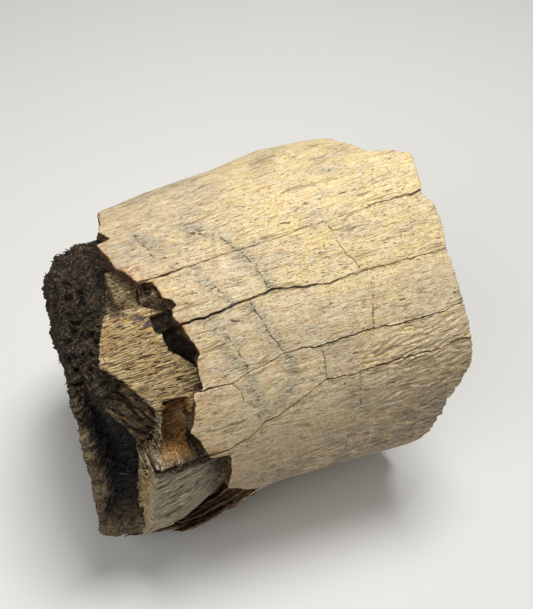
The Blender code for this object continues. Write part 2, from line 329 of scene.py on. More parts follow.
@dataclass(frozen=True)
class Shaft:
    """The fragment's plain form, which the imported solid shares: a widening oval with swellings."""

    half_width: float = 31.9
    half_height: float = 33.9
    axis_height: float = 33.9
    widening: float = 0.00192
    mean_radius: float = 33.0
    arc_per_degree: float = 0.56
    underside_half_height: float = 34.7
    underside_starts: float = 0.45
    shift_x: float = -0.6
    shift_y: float = 0.122
    swellings: tuple[tuple[float, float, Path], ...] = (
        (-38.0, 26.0, (
            (-37.5, 1.6), (-34.7, 3.4), (-31.0, 3.9), (-27.0, 4.2), (-21.0, 5.2),
            (-16.0, 4.3), (-11.0, 3.0), (-5.0, 1.1), (1.0, 0.0),
        )),
        (130.0, 34.0, (
            (-22.0, -0.6), (-10.0, 0.3), (4.0, 0.5), (15.0, 1.3), (24.0, 0.5), (34.0, -1.4),
        )),
    )

    def swelling(self, along: Array, angle: Array) -> Array:
        """Measures how far the swellings stand out of the plain oval.

        Args:
            along: places along X.
            angle: angles round the shaft.

        Returns:
            Heights in mm.
        """
        total = np.zeros(np.broadcast(along, angle).shape)
        for crest, spread, heights in self.swellings:
            turn = (angle - crest + 180.0) % 360.0 - 180.0
            total += follow(heights, along) * np.exp(-((turn / spread) ** 2))
        return total

    def place(self, along: Array, angle: Array, depth: Array) -> Array:
        """Finds points of the fragment.

        Args:
            along: places along X.
            angle: angles round the shaft.
            depth: depths below its outer surface.

        Returns:
            Points (x, y, z) in mm, none of them below the floor.
        """
        along, angle, depth = np.broadcast_arrays(along, angle, depth)
        turn = np.radians(angle)
        under = rise(-np.sin(turn), self.underside_starts, 1.0)
        scale = 1.0 + self.widening * along * (1.0 - under)
        scale = scale + (self.swelling(along, angle) - depth) / self.mean_radius
        half_height = self.half_height + (self.underside_half_height - self.half_height) * under
        y = -self.half_width * np.cos(turn) * scale
        z = np.maximum(self.axis_height + half_height * np.sin(turn) * scale, 0.0)
        return spots(along + self.shift_x, y + self.shift_y, z)

    def lay(self, along: Array, angle: Array, depth: Array) -> Array:
        """Gives coordinates in mm that follow the bone: along it, round it and into it."""
        return spots(along, angle * self.arc_per_degree, depth)

    def gap_to(self, along: Array, angle: Array, path: Path) -> Array:
        """Measures how far places are from a path of (along, angle) points.

        Args:
            along: places along X.
            angle: angles round the shaft.
            path: the path's points.

        Returns:
            Distances over the surface, in mm.
        """
        nearest = np.full(np.shape(along), 99.0)
        arc = angle * self.arc_per_degree
        for start, end in zip(path, path[1:]):
            run = end[0] - start[0]
            turn = (end[1] - start[1]) * self.arc_per_degree
            away = arc - start[1] * self.arc_per_degree
            share = ((along - start[0]) * run + away * turn) / (run * run + turn * turn)
            share = np.clip(share, 0.0, 1.0)
            gap = np.hypot(along - start[0] - share * run, away - share * turn)
            nearest = np.minimum(nearest, gap)
        return nearest

    def inside(self, along: Array, angle: Array, outline: Path) -> Array:
        """Measures how far inside a closed outline places lie.

        Args:
            along: places along X.
            angle: angles round the shaft.
            outline: the outline's (along, angle) points.

        Returns:
            Distances in mm, negative outside it.
        """
        gap = self.gap_to(along, angle, outline + outline[:1])
        covered = np.zeros(np.shape(along), bool)
        for start, end in zip(outline, outline[1:] + outline[:1]):
            if start[1] == end[1]:
                continue
            crosses = (start[1] > angle) != (end[1] > angle)
            edge = start[0] + (angle - start[1]) * (end[0] - start[0]) / (end[1] - start[1])
            covered ^= crosses & (along < edge)
        return np.where(covered, gap, -gap)


SHAFT = Shaft()


class Mask(Enum):
    """A number that a piece carries at each point; its value is the attribute's name.

    Each is a share, but for HAIR and SPLIT, which fall to 0 along thin cracks.
    """

    # The crack, deep, cool and crest masks also carry painted light: shade in the inner layer's pockets, the
    # core's hollow and the outer layer's underside, a bluish sheen in the hollow, and highlight on the core's
    # upper crests.
    CRACK = "crack"
    PITTED = "pitted"
    WARM = "warm"
    YELLOW = "yellow"
    COOL = "cool"
    DEEP = "deep"
    BLOCK = "block"
    RECESS = "recess"
    CREST = "crest"
    PALE = "pale"
    RIM = "rim"
    HAIR = "hair"
    SPLIT = "split"


def write_vectors(mesh: Mesh, name: str, vectors: Array) -> None:
    """Stores a vector for each point of a mesh, as an attribute with this name."""
    layer = mesh.attributes.new(name, "FLOAT_VECTOR", "POINT")
    layer.data.foreach_set("vector", vectors.reshape(-1, 3).astype(np.float32).ravel())


@dataclass
class Skin:
    """A grid of points that becomes one closed mesh.

    Attributes:
        points: rows x columns x 3, in mm.
        lay: rows x columns x 3, the coordinates that its finish's patterns follow.
        masks: rows x columns shares for each mask that its finish reads.
        map: rows x columns x 2 places in its own UV map, with one column more where the
            grid is closed round.
        rows_closed: whether the last row joins the first.
        columns_closed: whether the last column joins the first.
        broken_rows: rows whose faces take the second finish.
    """

    points: Array
    lay: Array
    masks: dict[Mask, Array]
    map: Array
    rows_closed: bool = False
    columns_closed: bool = False
    broken_rows: tuple[int, ...] = ()

    def quads(self) -> tuple[Array, Array]:
        """Lists the grid's faces.

        Returns:
            The corners of each quad as places in the grid, and as places in the UV map.
        """
        rows, columns = self.points.shape[:2]
        row = np.arange(rows if self.rows_closed else rows - 1)
        column = np.arange(columns if self.columns_closed else columns - 1)
        row, column = np.meshgrid(row, column, indexing="ij")
        corners = [(row, column), (row, column + 1), (row + 1, column + 1), (row + 1, column)]
        wide = self.map.shape[1]
        grid = [(down % rows) * columns + right % columns for down, right in corners]
        places = [
            np.minimum(down, rows - 1) * wide + np.minimum(right, wide - 1) for down, right in corners
        ]
        return spots(*grid).reshape(-1, 4), spots(*places).reshape(-1, 4)

    def ends(self) -> list[Array]:
        """Lists the loops that close the grid's open sides.

        Returns:
            Two loops, each as places in the grid.
        """
        rows, columns = self.points.shape[:2]
        index = np.arange(rows * columns).reshape(rows, columns)
        if self.rows_closed:
            return [index[:, 0], index[::-1, -1]]
        return [index[0, ::-1], index[-1, :]]

    def build(self, name: str, finishes: list[Material]) -> Object:
        """Makes the mesh, with its masks and its UV map.

        Args:
            name: what the piece is called.
            finishes: its materials; broken rows take the second one.

        Returns:
            The new object, at the origin.
        """
        quads, places = self.quads()
        ends = self.ends()
        flat = self.points.reshape(-1, 3)
        centre = flat.mean(axis=0)
        near, beyond, across = (flat[quads[:, corner]] - centre for corner in range(3))
        if np.sum(near * np.cross(beyond, across)) < 0.0:
            quads, places = quads[:, ::-1], places[:, ::-1]
            ends = [loop[::-1] for loop in ends]
        sizes = np.concatenate([np.full(len(quads), 4), [len(loop) for loop in ends]])
        mesh = bpy.data.meshes.new(name)
        mesh.vertices.add(len(flat))
        mesh.vertices.foreach_set("co", (flat * MM).ravel())
        mesh.loops.add(int(sizes.sum()))
        mesh.loops.foreach_set("vertex_index", np.concatenate([quads.ravel(), *ends]))
        mesh.polygons.add(len(sizes))
        mesh.polygons.foreach_set("loop_start", np.concatenate([[0], np.cumsum(sizes)[:-1]]))
        mesh.update(calc_edges=True)
        self._set_finishes(mesh, quads, len(ends), finishes)
        self._set_map(mesh, places, sum(len(loop) for loop in ends))
        write_vectors(mesh, "lay", self.lay)
        write_vectors(mesh, "flow", np.gradient(self.points, axis=0))
        for mask, values in self.masks.items():
            layer = mesh.attributes.new(mask.value, "FLOAT", "POINT")
            low = -1.0 if mask is Mask.SPLIT else 0.0
            layer.data.foreach_set("value", np.clip(values, low, 1.0).astype(np.float32).ravel())
        mesh.shade_smooth()
        piece = bpy.data.objects.new(name, mesh)
        bpy.context.scene.collection.objects.link(piece)
        return piece

    def _set_finishes(
        self, mesh: Mesh, quads: Array, ends: int, finishes: list[Material]
    ) -> None:
        """Gives each face its material.

        Args:
            mesh: the mesh to dress.
            quads: the corners of its quads, as places in the grid.
            ends: how many more faces it has.
            finishes: its materials.
        """
        for finish in finishes:
            mesh.materials.append(finish)
        columns = self.points.shape[1]
        broken = np.isin(quads.min(axis=1) // columns, self.broken_rows)
        choice = np.concatenate([broken.astype(np.int32), np.full(ends, len(finishes) - 1)])
        mesh.polygons.foreach_set("material_index", choice.astype(np.int32))

    def _set_map(self, mesh: Mesh, places: Array, spare: int) -> None:
        """Lays out the UV map; the faces that close the ends share its corner.

        Args:
            mesh: the mesh to map.
            places: the corners of its quads, as places in the map.
            spare: how many corners its other faces have.
        """
        layer = mesh.uv_layers.new(name="OFBake")
        corners = np.concatenate([self.map.reshape(-1, 2)[places.ravel()], np.zeros((spare, 2))])
        layer.data.foreach_set("uv", corners.astype(np.float32).ravel())


def facing(points: Array, closed: bool) -> Array:
    """Works out which way each point of a grid faces.

    Args:
        points: rows x columns x 3.
        closed: whether the columns close round.

    Returns:
        Unit directions, all to the same side.
    """
    down = np.gradient(points, axis=0)
    if closed:
        across = np.roll(points, -1, axis=1) - np.roll(points, 1, axis=1)
    else:
        across = np.gradient(points, axis=1)
    normal = np.cross(down, across)
    return normal / np.maximum(np.linalg.norm(normal, axis=-1, keepdims=True), 1e-9)


def dish(edge: Array, reach: Array, bulge: Array) -> Array:
    """Closes a ring of points with a face that runs in to its middle.

    Args:
        edge: the ring's points.
        reach: how far out each row of the face lies, as a share of the ring.
        bulge: how far each row stands out along X.

    Returns:
        Points, rows x columns x 3.
    """
    centre = edge.mean(axis=0)
    face = centre + (edge - centre) * reach[..., None]
    face[..., 0] = centre[0] + (edge[:, 0] - centre[0]) * reach**EDGE_FADE + bulge
    return face


def lumps(points: Array, waves: tuple[tuple[float, float], ...]) -> Array:
    """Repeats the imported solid's broad lumps.

    Args:
        points: places in mm, in the finished frame.
        waves: the (wavelength, height) of each size of lump.

    Returns:
        How far each point stands out, in mm.
    """
    origin = Vector((31.0, 7.0, 19.0))
    shift = Vector((SHAFT.shift_x, SHAFT.shift_y, 0.0))
    flat = points.reshape(-1, 3)
    total = np.zeros(len(flat))
    for wavelength, height in waves:
        values = [noise.noise((Vector(point) - shift) / wavelength + origin) for point in flat]
        total += height * np.array(values)
    return total.reshape(points.shape[:-1])


def linear(code: str) -> tuple[float, float, float, float]:
    """Turns an sRGB colour code into the linear colour that a shader takes.

    Args:
        code: six hex digits.

    Returns:
        Red, green, blue and full opacity.
    """
    parts = [byte / 255.0 for byte in bytes.fromhex(code)]
    red, green, blue = (
        part / 12.92 if part <= 0.04045 else ((part + 0.055) / 1.055) ** 2.4 for part in parts
    )
    return (red, green, blue, 1.0)


def add_node(
    tree: NodeTree,
    kind: str,
    inputs: dict[str | int, object] | None = None,
    **settings: object,
) -> Node:
    """Adds one node with its settings and links.

    Args:
        tree: the tree that gets it.
        kind: the node's type.
        inputs: what goes into its sockets, by name or by number: another node's socket, or
            a fixed value.
        settings: its other properties.

    Returns:
        The new node.
    """
    node = tree.nodes.new(kind)
    for name, value in settings.items():
        setattr(node, name, value)
    for key, value in (inputs or {}).items():
        if isinstance(key, int):
            socket = node.inputs[key]
        else:
            socket = next(item for item in node.inputs if item.name == key and item.enabled)
        if isinstance(value, NodeSocket):
            tree.links.new(value, socket)
        else:
            socket.default_value = value
    return node


class Pattern(Enum):
    """How a stain's patches are laid out."""

    CLOUDS = "clouds"
    SPOTS = "spots"
    VEINS = "veins"
    EVERYWHERE = "everywhere"
    LINES = "lines"


@dataclass(frozen=True)
class Stain:
    """One tint over those before it.

    Attributes:
        tint: its colour.
        grain: its patches' size in mm, along the bone, round it and into it.
        sets_in: the two values of the pattern between which it sets in.
        strength: its share of the colour where it is full.
        mask: which mask limits it.
        pattern: how its patches are laid out.
        sink: how deep it lies in the surface in mm, or how far it stands out if negative.
        detail: how many finer octaves break its edges up.
        slant: how far its grain is turned from the bone's, in degrees.
    """

    tint: str
    grain: Point = (1.0, 1.0, 1.0)
    sets_in: tuple[float, float] = (0.5, 0.6)
    strength: float = 1.0
    mask: Mask | None = None
    pattern: Pattern = Pattern.CLOUDS
    sink: float = 0.0
    detail: float = 3.0
    slant: float = 0.0


@dataclass(frozen=True)
class Finish:
    """A dull mineral surface: a ground colour, stains over it, and the relief they lie in.

    Attributes:
        name: what the material is called.
        ground: its ground colour.
        stains: its stains, from the lowest up.
        roughness: how rough it is where it is smoothest and where it is roughest.
        specular: its specular level.
        drift: how far noise bends its patterns, in mm.
        grit: the size of its finest grains in mm, and grit_height how far they stand out.
        on_object: whether its patterns follow the object instead of the lay of the bone.
    """

    name: str
    ground: str
    stains: tuple[Stain, ...]
    roughness: tuple[float, float] = (0.72, 0.92)
    specular: float = 0.3
    drift: float = 0.5
    grit: float = 0.3
    grit_height: float = 0.06
    on_object: bool = False

    def build(self) -> Material:
        """Makes the material.

        Returns:
            A material whose patterns follow the piece's own coordinates.
        """
        material = bpy.data.materials.new(self.name)
        material.use_nodes = True
        tree = material.node_tree
        shader = tree.nodes["Principled BSDF"]
        shader.inputs["Specular IOR Level"].default_value = self.specular
        place = self._place(tree)
        colour: object = linear(self.ground)
        height: object = 0.0
        for number, stain in enumerate(self.stains):
            share = self._share(tree, stain, number, place)
            tints = {"Factor": share, "A": colour, "B": linear(stain.tint)}
            colour = add_node(tree, "ShaderNodeMix", tints, data_type="RGBA").outputs[2]
            if stain.sink:
                sunk = {0: share, 1: -stain.sink, 2: height}
                height = add_node(tree, "ShaderNodeMath", sunk, operation="MULTIPLY_ADD").outputs[0]
        tree.links.new(colour, shader.inputs["Base Color"])
        self._roughen(tree, shader, place, height)
        return material

    def _place(self, tree: NodeTree) -> NodeSocket:
        """Adds the coordinates that the patterns read, bent a little by noise.

        Args:
            tree: the material's nodes.

        Returns:
            A vector in mm.
        """
        add = partial(add_node, tree)
        if self.on_object:
            source = add("ShaderNodeTexCoord").outputs["Object"]
            lay = add("ShaderNodeVectorMath", {0: source, "Scale": 1.0 / MM}, operation="SCALE").outputs[0]
        else:
            lay = add("ShaderNodeAttribute", attribute_name="lay").outputs["Vector"]
        bend = add("ShaderNodeTexNoise", {"Vector": lay, "Scale": 0.35, "Detail": 2.0}).outputs["Color"]
        middle = add("ShaderNodeVectorMath", {0: bend, 1: (0.5,) * 3}, operation="SUBTRACT").outputs[0]
        moved = {0: middle, 1: (self.drift * 2.0,) * 3, 2: lay}
        return add("ShaderNodeVectorMath", moved, operation="MULTIPLY_ADD").outputs[0]

    def _share(self, tree: NodeTree, stain: Stain, number: int, place: NodeSocket) -> NodeSocket:
        """Adds the nodes that say how much of a stain shows.

        Args:
            tree: the material's nodes.
            stain: the stain.
            number: its place in the list, which sets its patches apart from the others'.
            place: the coordinates in mm.

        Returns:
            A share from 0 to its strength.
        """
        add = partial(add_node, tree)
        limit = None
        if stain.mask:
            limit = add("ShaderNodeAttribute", attribute_name=stain.mask.value).outputs["Fac"]
        value = limit
        plain = stain.pattern in (Pattern.EVERYWHERE, Pattern.LINES)
        if stain.pattern is Pattern.LINES:
            value = add("ShaderNodeMath", {0: limit}, operation="ABSOLUTE").outputs[0]
        elif not plain:
            value = self._pattern(tree, stain, number, place)
        low, high = stain.sets_in
        steps = {"Value": value, "From Min": low, "From Max": high, "To Max": stain.strength}
        share = add("ShaderNodeMapRange", steps, interpolation_type="SMOOTHSTEP").outputs["Result"]
        if limit is None or plain:
            return share
        return add("ShaderNodeMath", {0: share, 1: limit}, operation="MULTIPLY").outputs[0]

    def _pattern(self, tree: NodeTree, stain: Stain, number: int, place: NodeSocket) -> NodeSocket:
        """Adds the texture that lays out a stain's patches.

        Args:
            tree: the material's nodes.
            stain: the stain.
            number: its place in the list.
            place: the coordinates in mm.

        Returns:
            The texture's value.
        """
        add = partial(add_node, tree)
        turned = {
            "Vector": place, "Location": (3.7 * number, 11.3 * number, 5.9 * number),
            "Rotation": (0.0, 0.0, np.radians(stain.slant)), "Scale": stain.grain,
        }
        vector = add("ShaderNodeMapping", turned, vector_type="TEXTURE").outputs["Vector"]
        if stain.pattern is Pattern.CLOUDS:
            clouds = {"Vector": vector, "Scale": 1.0, "Detail": stain.detail, "Roughness": 0.6}
            return add("ShaderNodeTexNoise", clouds).outputs["Fac"]
        feature = "F1" if stain.pattern is Pattern.SPOTS else "DISTANCE_TO_EDGE"
        cells = {"Vector": vector, "Scale": 1.0}
        return add("ShaderNodeTexVoronoi", cells, feature=feature).outputs["Distance"]

    def _roughen(
        self, tree: NodeTree, shader: Node, place: NodeSocket, height: object
    ) -> None:
        """Adds the roughness and the bump.

        Args:
            tree: the material's nodes.
            shader: its Principled BSDF.
            place: the coordinates in mm.
            height: the relief in mm, or 0 for none.
        """
        add = partial(add_node, tree)
        grains = {"Vector": place, "Scale": 1.0 / self.grit, "Detail": 3.0, "Roughness": 0.7}
        grit = add("ShaderNodeTexNoise", grains).outputs["Fac"]
        low, high = self.roughness
        steps = {"Value": grit, "From Min": 0.3, "From Max": 0.7, "To Min": low, "To Max": high}
        tree.links.new(add("ShaderNodeMapRange", steps).outputs["Result"], shader.inputs["Roughness"])
        relief = {0: grit, 1: self.grit_height, 2: height}
        total = add("ShaderNodeMath", relief, operation="MULTIPLY_ADD").outputs[0]
        bump = add("ShaderNodeBump", {"Height": total, "Strength": 1.0, "Distance": MM})
        tree.links.new(bump.outputs["Normal"], shader.inputs["Normal"])


# Outer layer of a fossil limb bone, mineral-filled and weathered in the open: the hard,
# finely fibrous cortex takes ochre and grey stains along its grain and stays dull. Its cool
# grey-mauve is partly painted shade, towards the underside and the lower right.
WEATHERED_CORTEX = Finish(
    name="weathered_cortex",
    ground="D9C7A0",
    stains=(
        # Broad drifts of colour, 5 to 15 mm long.
        Stain("DFCA95", (14.0, 7.0, 3.0), (0.42, 0.62), 0.8),
        Stain("CDB892", (9.0, 3.4, 3.0), (0.5, 0.66), 0.55),
        # Mottling of 1 to 3 mm: ochre, pinkish brown and grey, drawn out along the grain.
        Stain("C8A667", (3.4, 1.5, 2.0), (0.52, 0.68), 0.5),
        Stain("C3A38A", (1.9, 1.1, 1.5), (0.5, 0.64), 0.62),
        Stain("ADA594", (2.4, 1.2, 1.5), (0.55, 0.68), 0.65),
        Stain("C3A372", (0.9, 0.6, 0.8), (0.54, 0.64), 0.5, sink=0.02),
        Stain("EDE0BF", (1.1, 0.7, 0.8), (0.56, 0.66), 0.5, sink=-0.02),
        Stain("CBA473", (2.6, 1.3, 2.0), (0.46, 0.64), 0.5, Mask.WARM),
        Stain("B98E6E", (1.6, 0.8, 2.0), (0.6, 0.7), 0.45, Mask.WARM),
        Stain("E6CE8C", (5.0, 2.2, 2.0), (0.38, 0.6), 0.6, Mask.YELLOW),
        # Grey-mauve stain mixed with painted shade: the cool mask grows towards the underside and the lower
        # right, and a little on the top towards -X.
        Stain("8C8078", (3.4, 1.2, 2.0), (0.34, 0.56), 0.85, Mask.COOL),
        Stain("75584A", (1.6, 0.6, 1.0), (0.56, 0.66), 0.7, Mask.COOL),
        Stain("CDBA96", (4.0, 0.5, 1.0), (0.58, 0.66), 0.65, Mask.COOL, sink=-0.04),
        Stain("54453A", (2.6, 0.26, 0.8), (0.57, 0.65), 0.7, Mask.COOL, sink=0.08, detail=1.0),
        # The bone's fibre: long grain lines, then streaks of about 0.2 mm, as coarse as
        # they need to be to show.
        Stain("A98C5F", (6.0, 0.34, 0.6), (0.56, 0.68), 0.32, sink=0.03, detail=2.0),
        Stain("F1E5C4", (5.0, 0.3, 0.6), (0.57, 0.69), 0.32, sink=-0.01, detail=2.0),
        Stain("9A7E56", (3.0, 0.19, 0.4), (0.56, 0.66), 0.42, sink=0.03, detail=1.0),
        Stain("F5EBCE", (2.2, 0.18, 0.4), (0.58, 0.68), 0.4, sink=-0.02, detail=1.0),
        Stain("6E573B", (1.0, 0.18, 0.4), (0.62, 0.69), 0.55, sink=0.05, detail=1.0),
        Stain("6F5A42", (0.34, 0.24, 0.3), (0.62, 0.7), 0.55, sink=0.04, detail=1.0),
        Stain("8A6038", (0.45, 0.34, 0.3), (0.66, 0.72), 0.55, detail=1.0),
        # Pale crazing, then sparse dark dashes and pits.
        Stain("EFE6D0", (8.0, 3.4, 3.0), (0.03, 0.0), 0.22, pattern=Pattern.VEINS),
        Stain("43341F", (1.5, 0.24, 0.5), (0.69, 0.73), 0.85, sink=0.1, detail=1.0),
        Stain("54412C", (1.25, 0.75, 0.8), (0.15, 0.07), 0.65, pattern=Pattern.SPOTS, sink=0.1),
        # Grey bands, crackled and pitted.
        Stain("A49A80", (1.8, 1.3, 1.0), (0.3, 0.5), 0.82, Mask.PITTED, sink=0.04),
        Stain("EDE3CC", (0.9, 0.35, 0.4), (0.56, 0.63), 0.65, Mask.PITTED, sink=-0.05, detail=1.0),
        Stain("4A3F30", (1.0, 0.27, 0.4), (0.58, 0.65), 0.75, Mask.PITTED, sink=0.13, detail=1.0),
        Stain("B97B45", (1.1, 0.9, 0.6), (0.36, 0.54), 0.75, Mask.RIM),
        # Drying cracks: thin ones along the grain, then those that cross it, then open ones.
        Stain("6A5638", sets_in=(0.1, 0.03), strength=0.55, mask=Mask.SPLIT,
              pattern=Pattern.LINES, sink=0.05),
        Stain("2F2519", sets_in=(0.13, 0.05), strength=0.85, mask=Mask.HAIR,
              pattern=Pattern.LINES, sink=0.1),
        Stain("261D15", sets_in=(0.3, 0.8), strength=0.95, mask=Mask.CRACK,
              pattern=Pattern.EVERYWHERE, sink=0.12),
    ),
    roughness=(0.68, 0.88),
    drift=0.16,
    grit=0.2,
    grit_height=0.1,
)

# The same bone where it broke across: rough, dark with iron and clay, and darkened further as painted shade
# for the walls under the rim; ochre at fresh edges.
BROKEN_CORTEX = Finish(
    name="broken_cortex",
    ground="654B31",
    stains=(
        Stain("35261A", (1.8, 1.6, 0.7), (0.4, 0.58), 0.88, sink=0.1),
        Stain("9A6B34", (1.4, 1.2, 0.5), (0.57, 0.68), 0.65, sink=-0.05),
        Stain("C2AA80", (0.9, 0.9, 0.35), (0.61, 0.71), 0.65, sink=-0.05),
        Stain("1E1610", (0.5, 0.5, 0.2), (0.53, 0.62), 0.85, sink=0.14),
        Stain("8A6B45", (0.3, 0.3, 0.25), (0.55, 0.66), 0.6, sink=-0.05),
        Stain("B79F76", (0.8, 0.7, 0.6), (0.34, 0.5), 0.85, Mask.PALE, sink=-0.05),
        Stain("4A3A28", (0.5, 0.5, 0.4), (0.54, 0.63), 0.85, Mask.PALE, sink=0.14),
    ),
    roughness=(0.78, 0.95),
)

# Inner cortex, bared where the outer layer flaked off: coarse lengthwise ridges, cream on
# their crests, with iron-brown in the gaps between them. The block is greyer and finer, the
# recess is stained orange-brown, and the slope below the ledge is dark. The deep and crack
# stains also lay painted shade in the pockets under the rim and on the block's top edge and end.
BARED_CORTEX = Finish(
    name="bared_cortex",
    ground="B99F70",
    stains=(
        Stain("CDB687", (4.0, 1.2, 2.0), (0.42, 0.6), 0.8),
        Stain("9F804F", (3.0, 1.3, 2.0), (0.52, 0.66), 0.6),
        Stain("C4924A", (2.4, 1.2, 1.5), (0.44, 0.62), 0.65, Mask.WARM),
        Stain("E4D3AC", (6.0, 0.26, 1.5), (0.54, 0.66), 0.6, sink=-0.06, detail=1.0),
        Stain("775C39", (4.0, 0.17, 1.5), (0.52, 0.6), 0.75, sink=0.1, detail=1.0),
        Stain("3F2E1C", (2.2, 0.2, 1.5), (0.56, 0.62), 0.85, sink=0.18, detail=1.0),
        Stain("46341F", (0.3, 1.4, 0.4), (0.65, 0.7), 0.8, sink=0.14, detail=1.0),
        Stain("C9BBA1", (4.0, 0.9, 1.0), (0.3, 0.45), 0.92, Mask.BLOCK),
        Stain("A3927A", (3.0, 1.0, 5.0), (0.5, 0.62), 0.6, Mask.BLOCK),
        Stain("E2D7BE", (5.0, 0.2, 5.0), (0.55, 0.62), 0.75, Mask.BLOCK, sink=-0.05, detail=1.0),
        Stain("72634F", (6.0, 0.18, 5.0), (0.53, 0.6), 0.8, Mask.BLOCK, sink=0.1, detail=1.0),
        Stain("32291F", (3.2, 0.18, 5.0), (0.575, 0.63), 0.9, Mask.BLOCK, sink=0.18, detail=1.0),
        # Dark broken facets, and painted shade in the pockets and on the block's top edge and end.
        Stain("584733", (2.5, 1.2, 1.2), (0.3, 0.5), 0.9, Mask.DEEP),
        Stain("886F4B", (1.9, 0.7, 0.8), (0.52, 0.64), 0.8, Mask.DEEP, slant=-56.0, sink=-0.08),
        Stain("1F1710", (2.0, 0.45, 0.5), (0.53, 0.61), 0.88, Mask.DEEP, slant=-56.0, sink=0.16),
        Stain("3D3842", (1.3, 0.9, 0.8), (0.42, 0.54), 0.85, Mask.COOL),
        Stain("94683A", (1.6, 0.9, 1.0), (0.26, 0.46), 0.95, Mask.RECESS),
        Stain("C99A55", (1.9, 0.8, 0.6), (0.48, 0.6), 0.85, Mask.RECESS, slant=50.0, sink=-0.08),
        Stain("3F2616", (1.5, 0.4, 0.4), (0.53, 0.62), 0.85, Mask.RECESS, slant=50.0, sink=0.16),
        Stain("D5C9AF", (0.6, 0.4, 0.4), (0.4, 0.58), 0.9, Mask.PALE, sink=-0.08),
        Stain("6B5235", (0.4, 0.35, 0.35), (0.56, 0.64), 0.8, Mask.PALE, sink=0.12),
        # Cracks and crevices, and painted shade in the pockets under the rim.
        Stain("241A12", sets_in=(0.3, 0.9), strength=0.92, mask=Mask.CRACK,
              pattern=Pattern.EVERYWHERE, sink=0.1),
    ),
    drift=0.2,
    roughness=(0.75, 0.92),
)

# Spongy bone whose pores are filled with dark minerals: black-brown, with worn tan crests
# that are also painted highlight towards the top; the hollow takes painted shade and a
# painted bluish sheen.
SPONGY_BONE = Finish(
    name="spongy_bone",
    ground="2B231B",
    stains=(
        Stain("110E0A", (2.5, 2.5, 2.5), (0.42, 0.58), 0.85),
        Stain("483A29", (1.8, 1.8, 1.8), (0.52, 0.68), 0.7),
        Stain("7A6950", (2.2, 1.6, 1.6), (0.3, 0.5), 0.9, Mask.PALE),
        Stain("62503A", (1.1, 0.26, 0.5), (0.56, 0.65), 0.7, slant=25.0, sink=-0.1, detail=1.5),
        Stain("120E0B", (1.1, 0.24, 0.5), (0.55, 0.63), 0.8, slant=-35.0, sink=0.14, detail=1.5),
        Stain("7C6A4C", (0.26, 0.9, 0.3), (0.62, 0.7), 0.7, sink=-0.1, detail=1.0),
        Stain("0F0C09", (0.24, 0.4, 1.0), (0.56, 0.64), 0.75, sink=0.14, detail=1.5),
        # Tan crests: wear, and painted highlight that grows towards the top.
        Stain("7F6A4D", (0.5, 0.35, 0.35), (0.52, 0.62), 0.75, Mask.CREST, sink=-0.06),
        Stain("B59E74", (0.3, 0.22, 0.22), (0.62, 0.68), 0.85, Mask.CREST, sink=-0.06),
        # Black in the hollow and its crevices, partly painted shade.
        Stain("0D0B0A", (1.2, 1.2, 1.2), (0.3, 0.5), 0.9, Mask.DEEP),
        # Painted bluish sheen in the hollow.
        Stain("353A3D", (0.7, 0.2, 0.2), (0.6, 0.68), 0.65, Mask.COOL, sink=-0.04),
        Stain("0A0807", sets_in=(0.3, 0.9), strength=0.9, mask=Mask.CRACK,
              pattern=Pattern.EVERYWHERE, sink=0.1),
    ),
    roughness=(0.6, 0.92),
    specular=0.25,
    drift=0.7,
    grit=0.2,
    grit_height=0.12,
)

# Loose fibres of the same bone, which stand clear of it and are worn paler.
FIBRE_BONE = Finish(
    name="fibre_bone",
    ground="2E251C",
    stains=(
        Stain("14100C", (2.0, 2.0, 2.0), (0.44, 0.58), 0.8),
        Stain("6B5A42", (1.0, 1.0, 1.0), (0.55, 0.66), 0.8),
        Stain("B09A74", (0.5, 0.5, 0.5), (0.64, 0.72), 0.8),
    ),
    roughness=(0.6, 0.9),
    on_object=True,
)

# Threads of dark mineral in the hollow: black, with a painted bluish sheen and painted highlights in their
# colour.
THREAD_BONE = Finish(
    name="thread_bone",
    ground="14120F",
    stains=(
        Stain("4B4F51", (1.2, 1.2, 1.2), (0.52, 0.62), 0.7),
        Stain("6E6657", (0.6, 0.6, 0.6), (0.6, 0.7), 0.7),
    ),
    roughness=(0.38, 0.6),
    specular=0.55,
    on_object=True,
)

# Crumbs of cortex, the cream and ochre of the ledges that they lie on.
CRUMB_BONE = Finish(
    name="crumb_bone",
    ground="A28A63",
    stains=(
        Stain("C8B68F", (1.2, 1.2, 1.2), (0.5, 0.6), 0.85),
        Stain("57442F", (0.9, 0.9, 0.9), (0.52, 0.62), 0.85),
        Stain("946A3C", (1.4, 1.4, 1.4), (0.6, 0.7), 0.7),
    ),
    roughness=(0.78, 0.94),
    on_object=True,
)

# The far break, across the shaft: tan layered cortex round a core of mineral-filled pores.
CROSS_BREAK = Finish(
    name="cross_break",
    ground="A88A5E",
    stains=(
        Stain("C8AE80", (2.5, 2.5, 2.5), (0.45, 0.62), 0.8),
        Stain("B07F45", (3.0, 3.0, 3.0), (0.54, 0.68), 0.6),
        Stain("735839", (0.9, 0.9, 0.9), (0.52, 0.64), 0.75, sink=0.08),
        Stain("564330", (2.0, 2.0, 2.0), (0.3, 0.5), 0.9, Mask.DEEP),
        Stain("8C7350", (0.7, 0.7, 0.7), (0.52, 0.64), 0.8, Mask.CREST, sink=-0.05),
        Stain("C4B08A", (0.4, 0.4, 0.4), (0.56, 0.66), 0.8, Mask.CREST, sink=-0.05),
        Stain("1D1611", sets_in=(0.3, 0.9), strength=0.92, mask=Mask.CRACK,
              pattern=Pattern.EVERYWHERE, sink=0.08),
    ),
    roughness=(0.75, 0.94),
)


@dataclass(frozen=True)
class Crack:
    """A long crack: its path of (along, angle) points and its width in mm at places along X."""

    path: Path
    widths: Path

    def angle(self, along: Array) -> Array:
        """Gives the crack's angle at places along X."""
        return follow(self.path, along)

    def width(self, along: Array) -> Array:
        """Gives the crack's width at places along X."""
        return follow(self.widths, along)


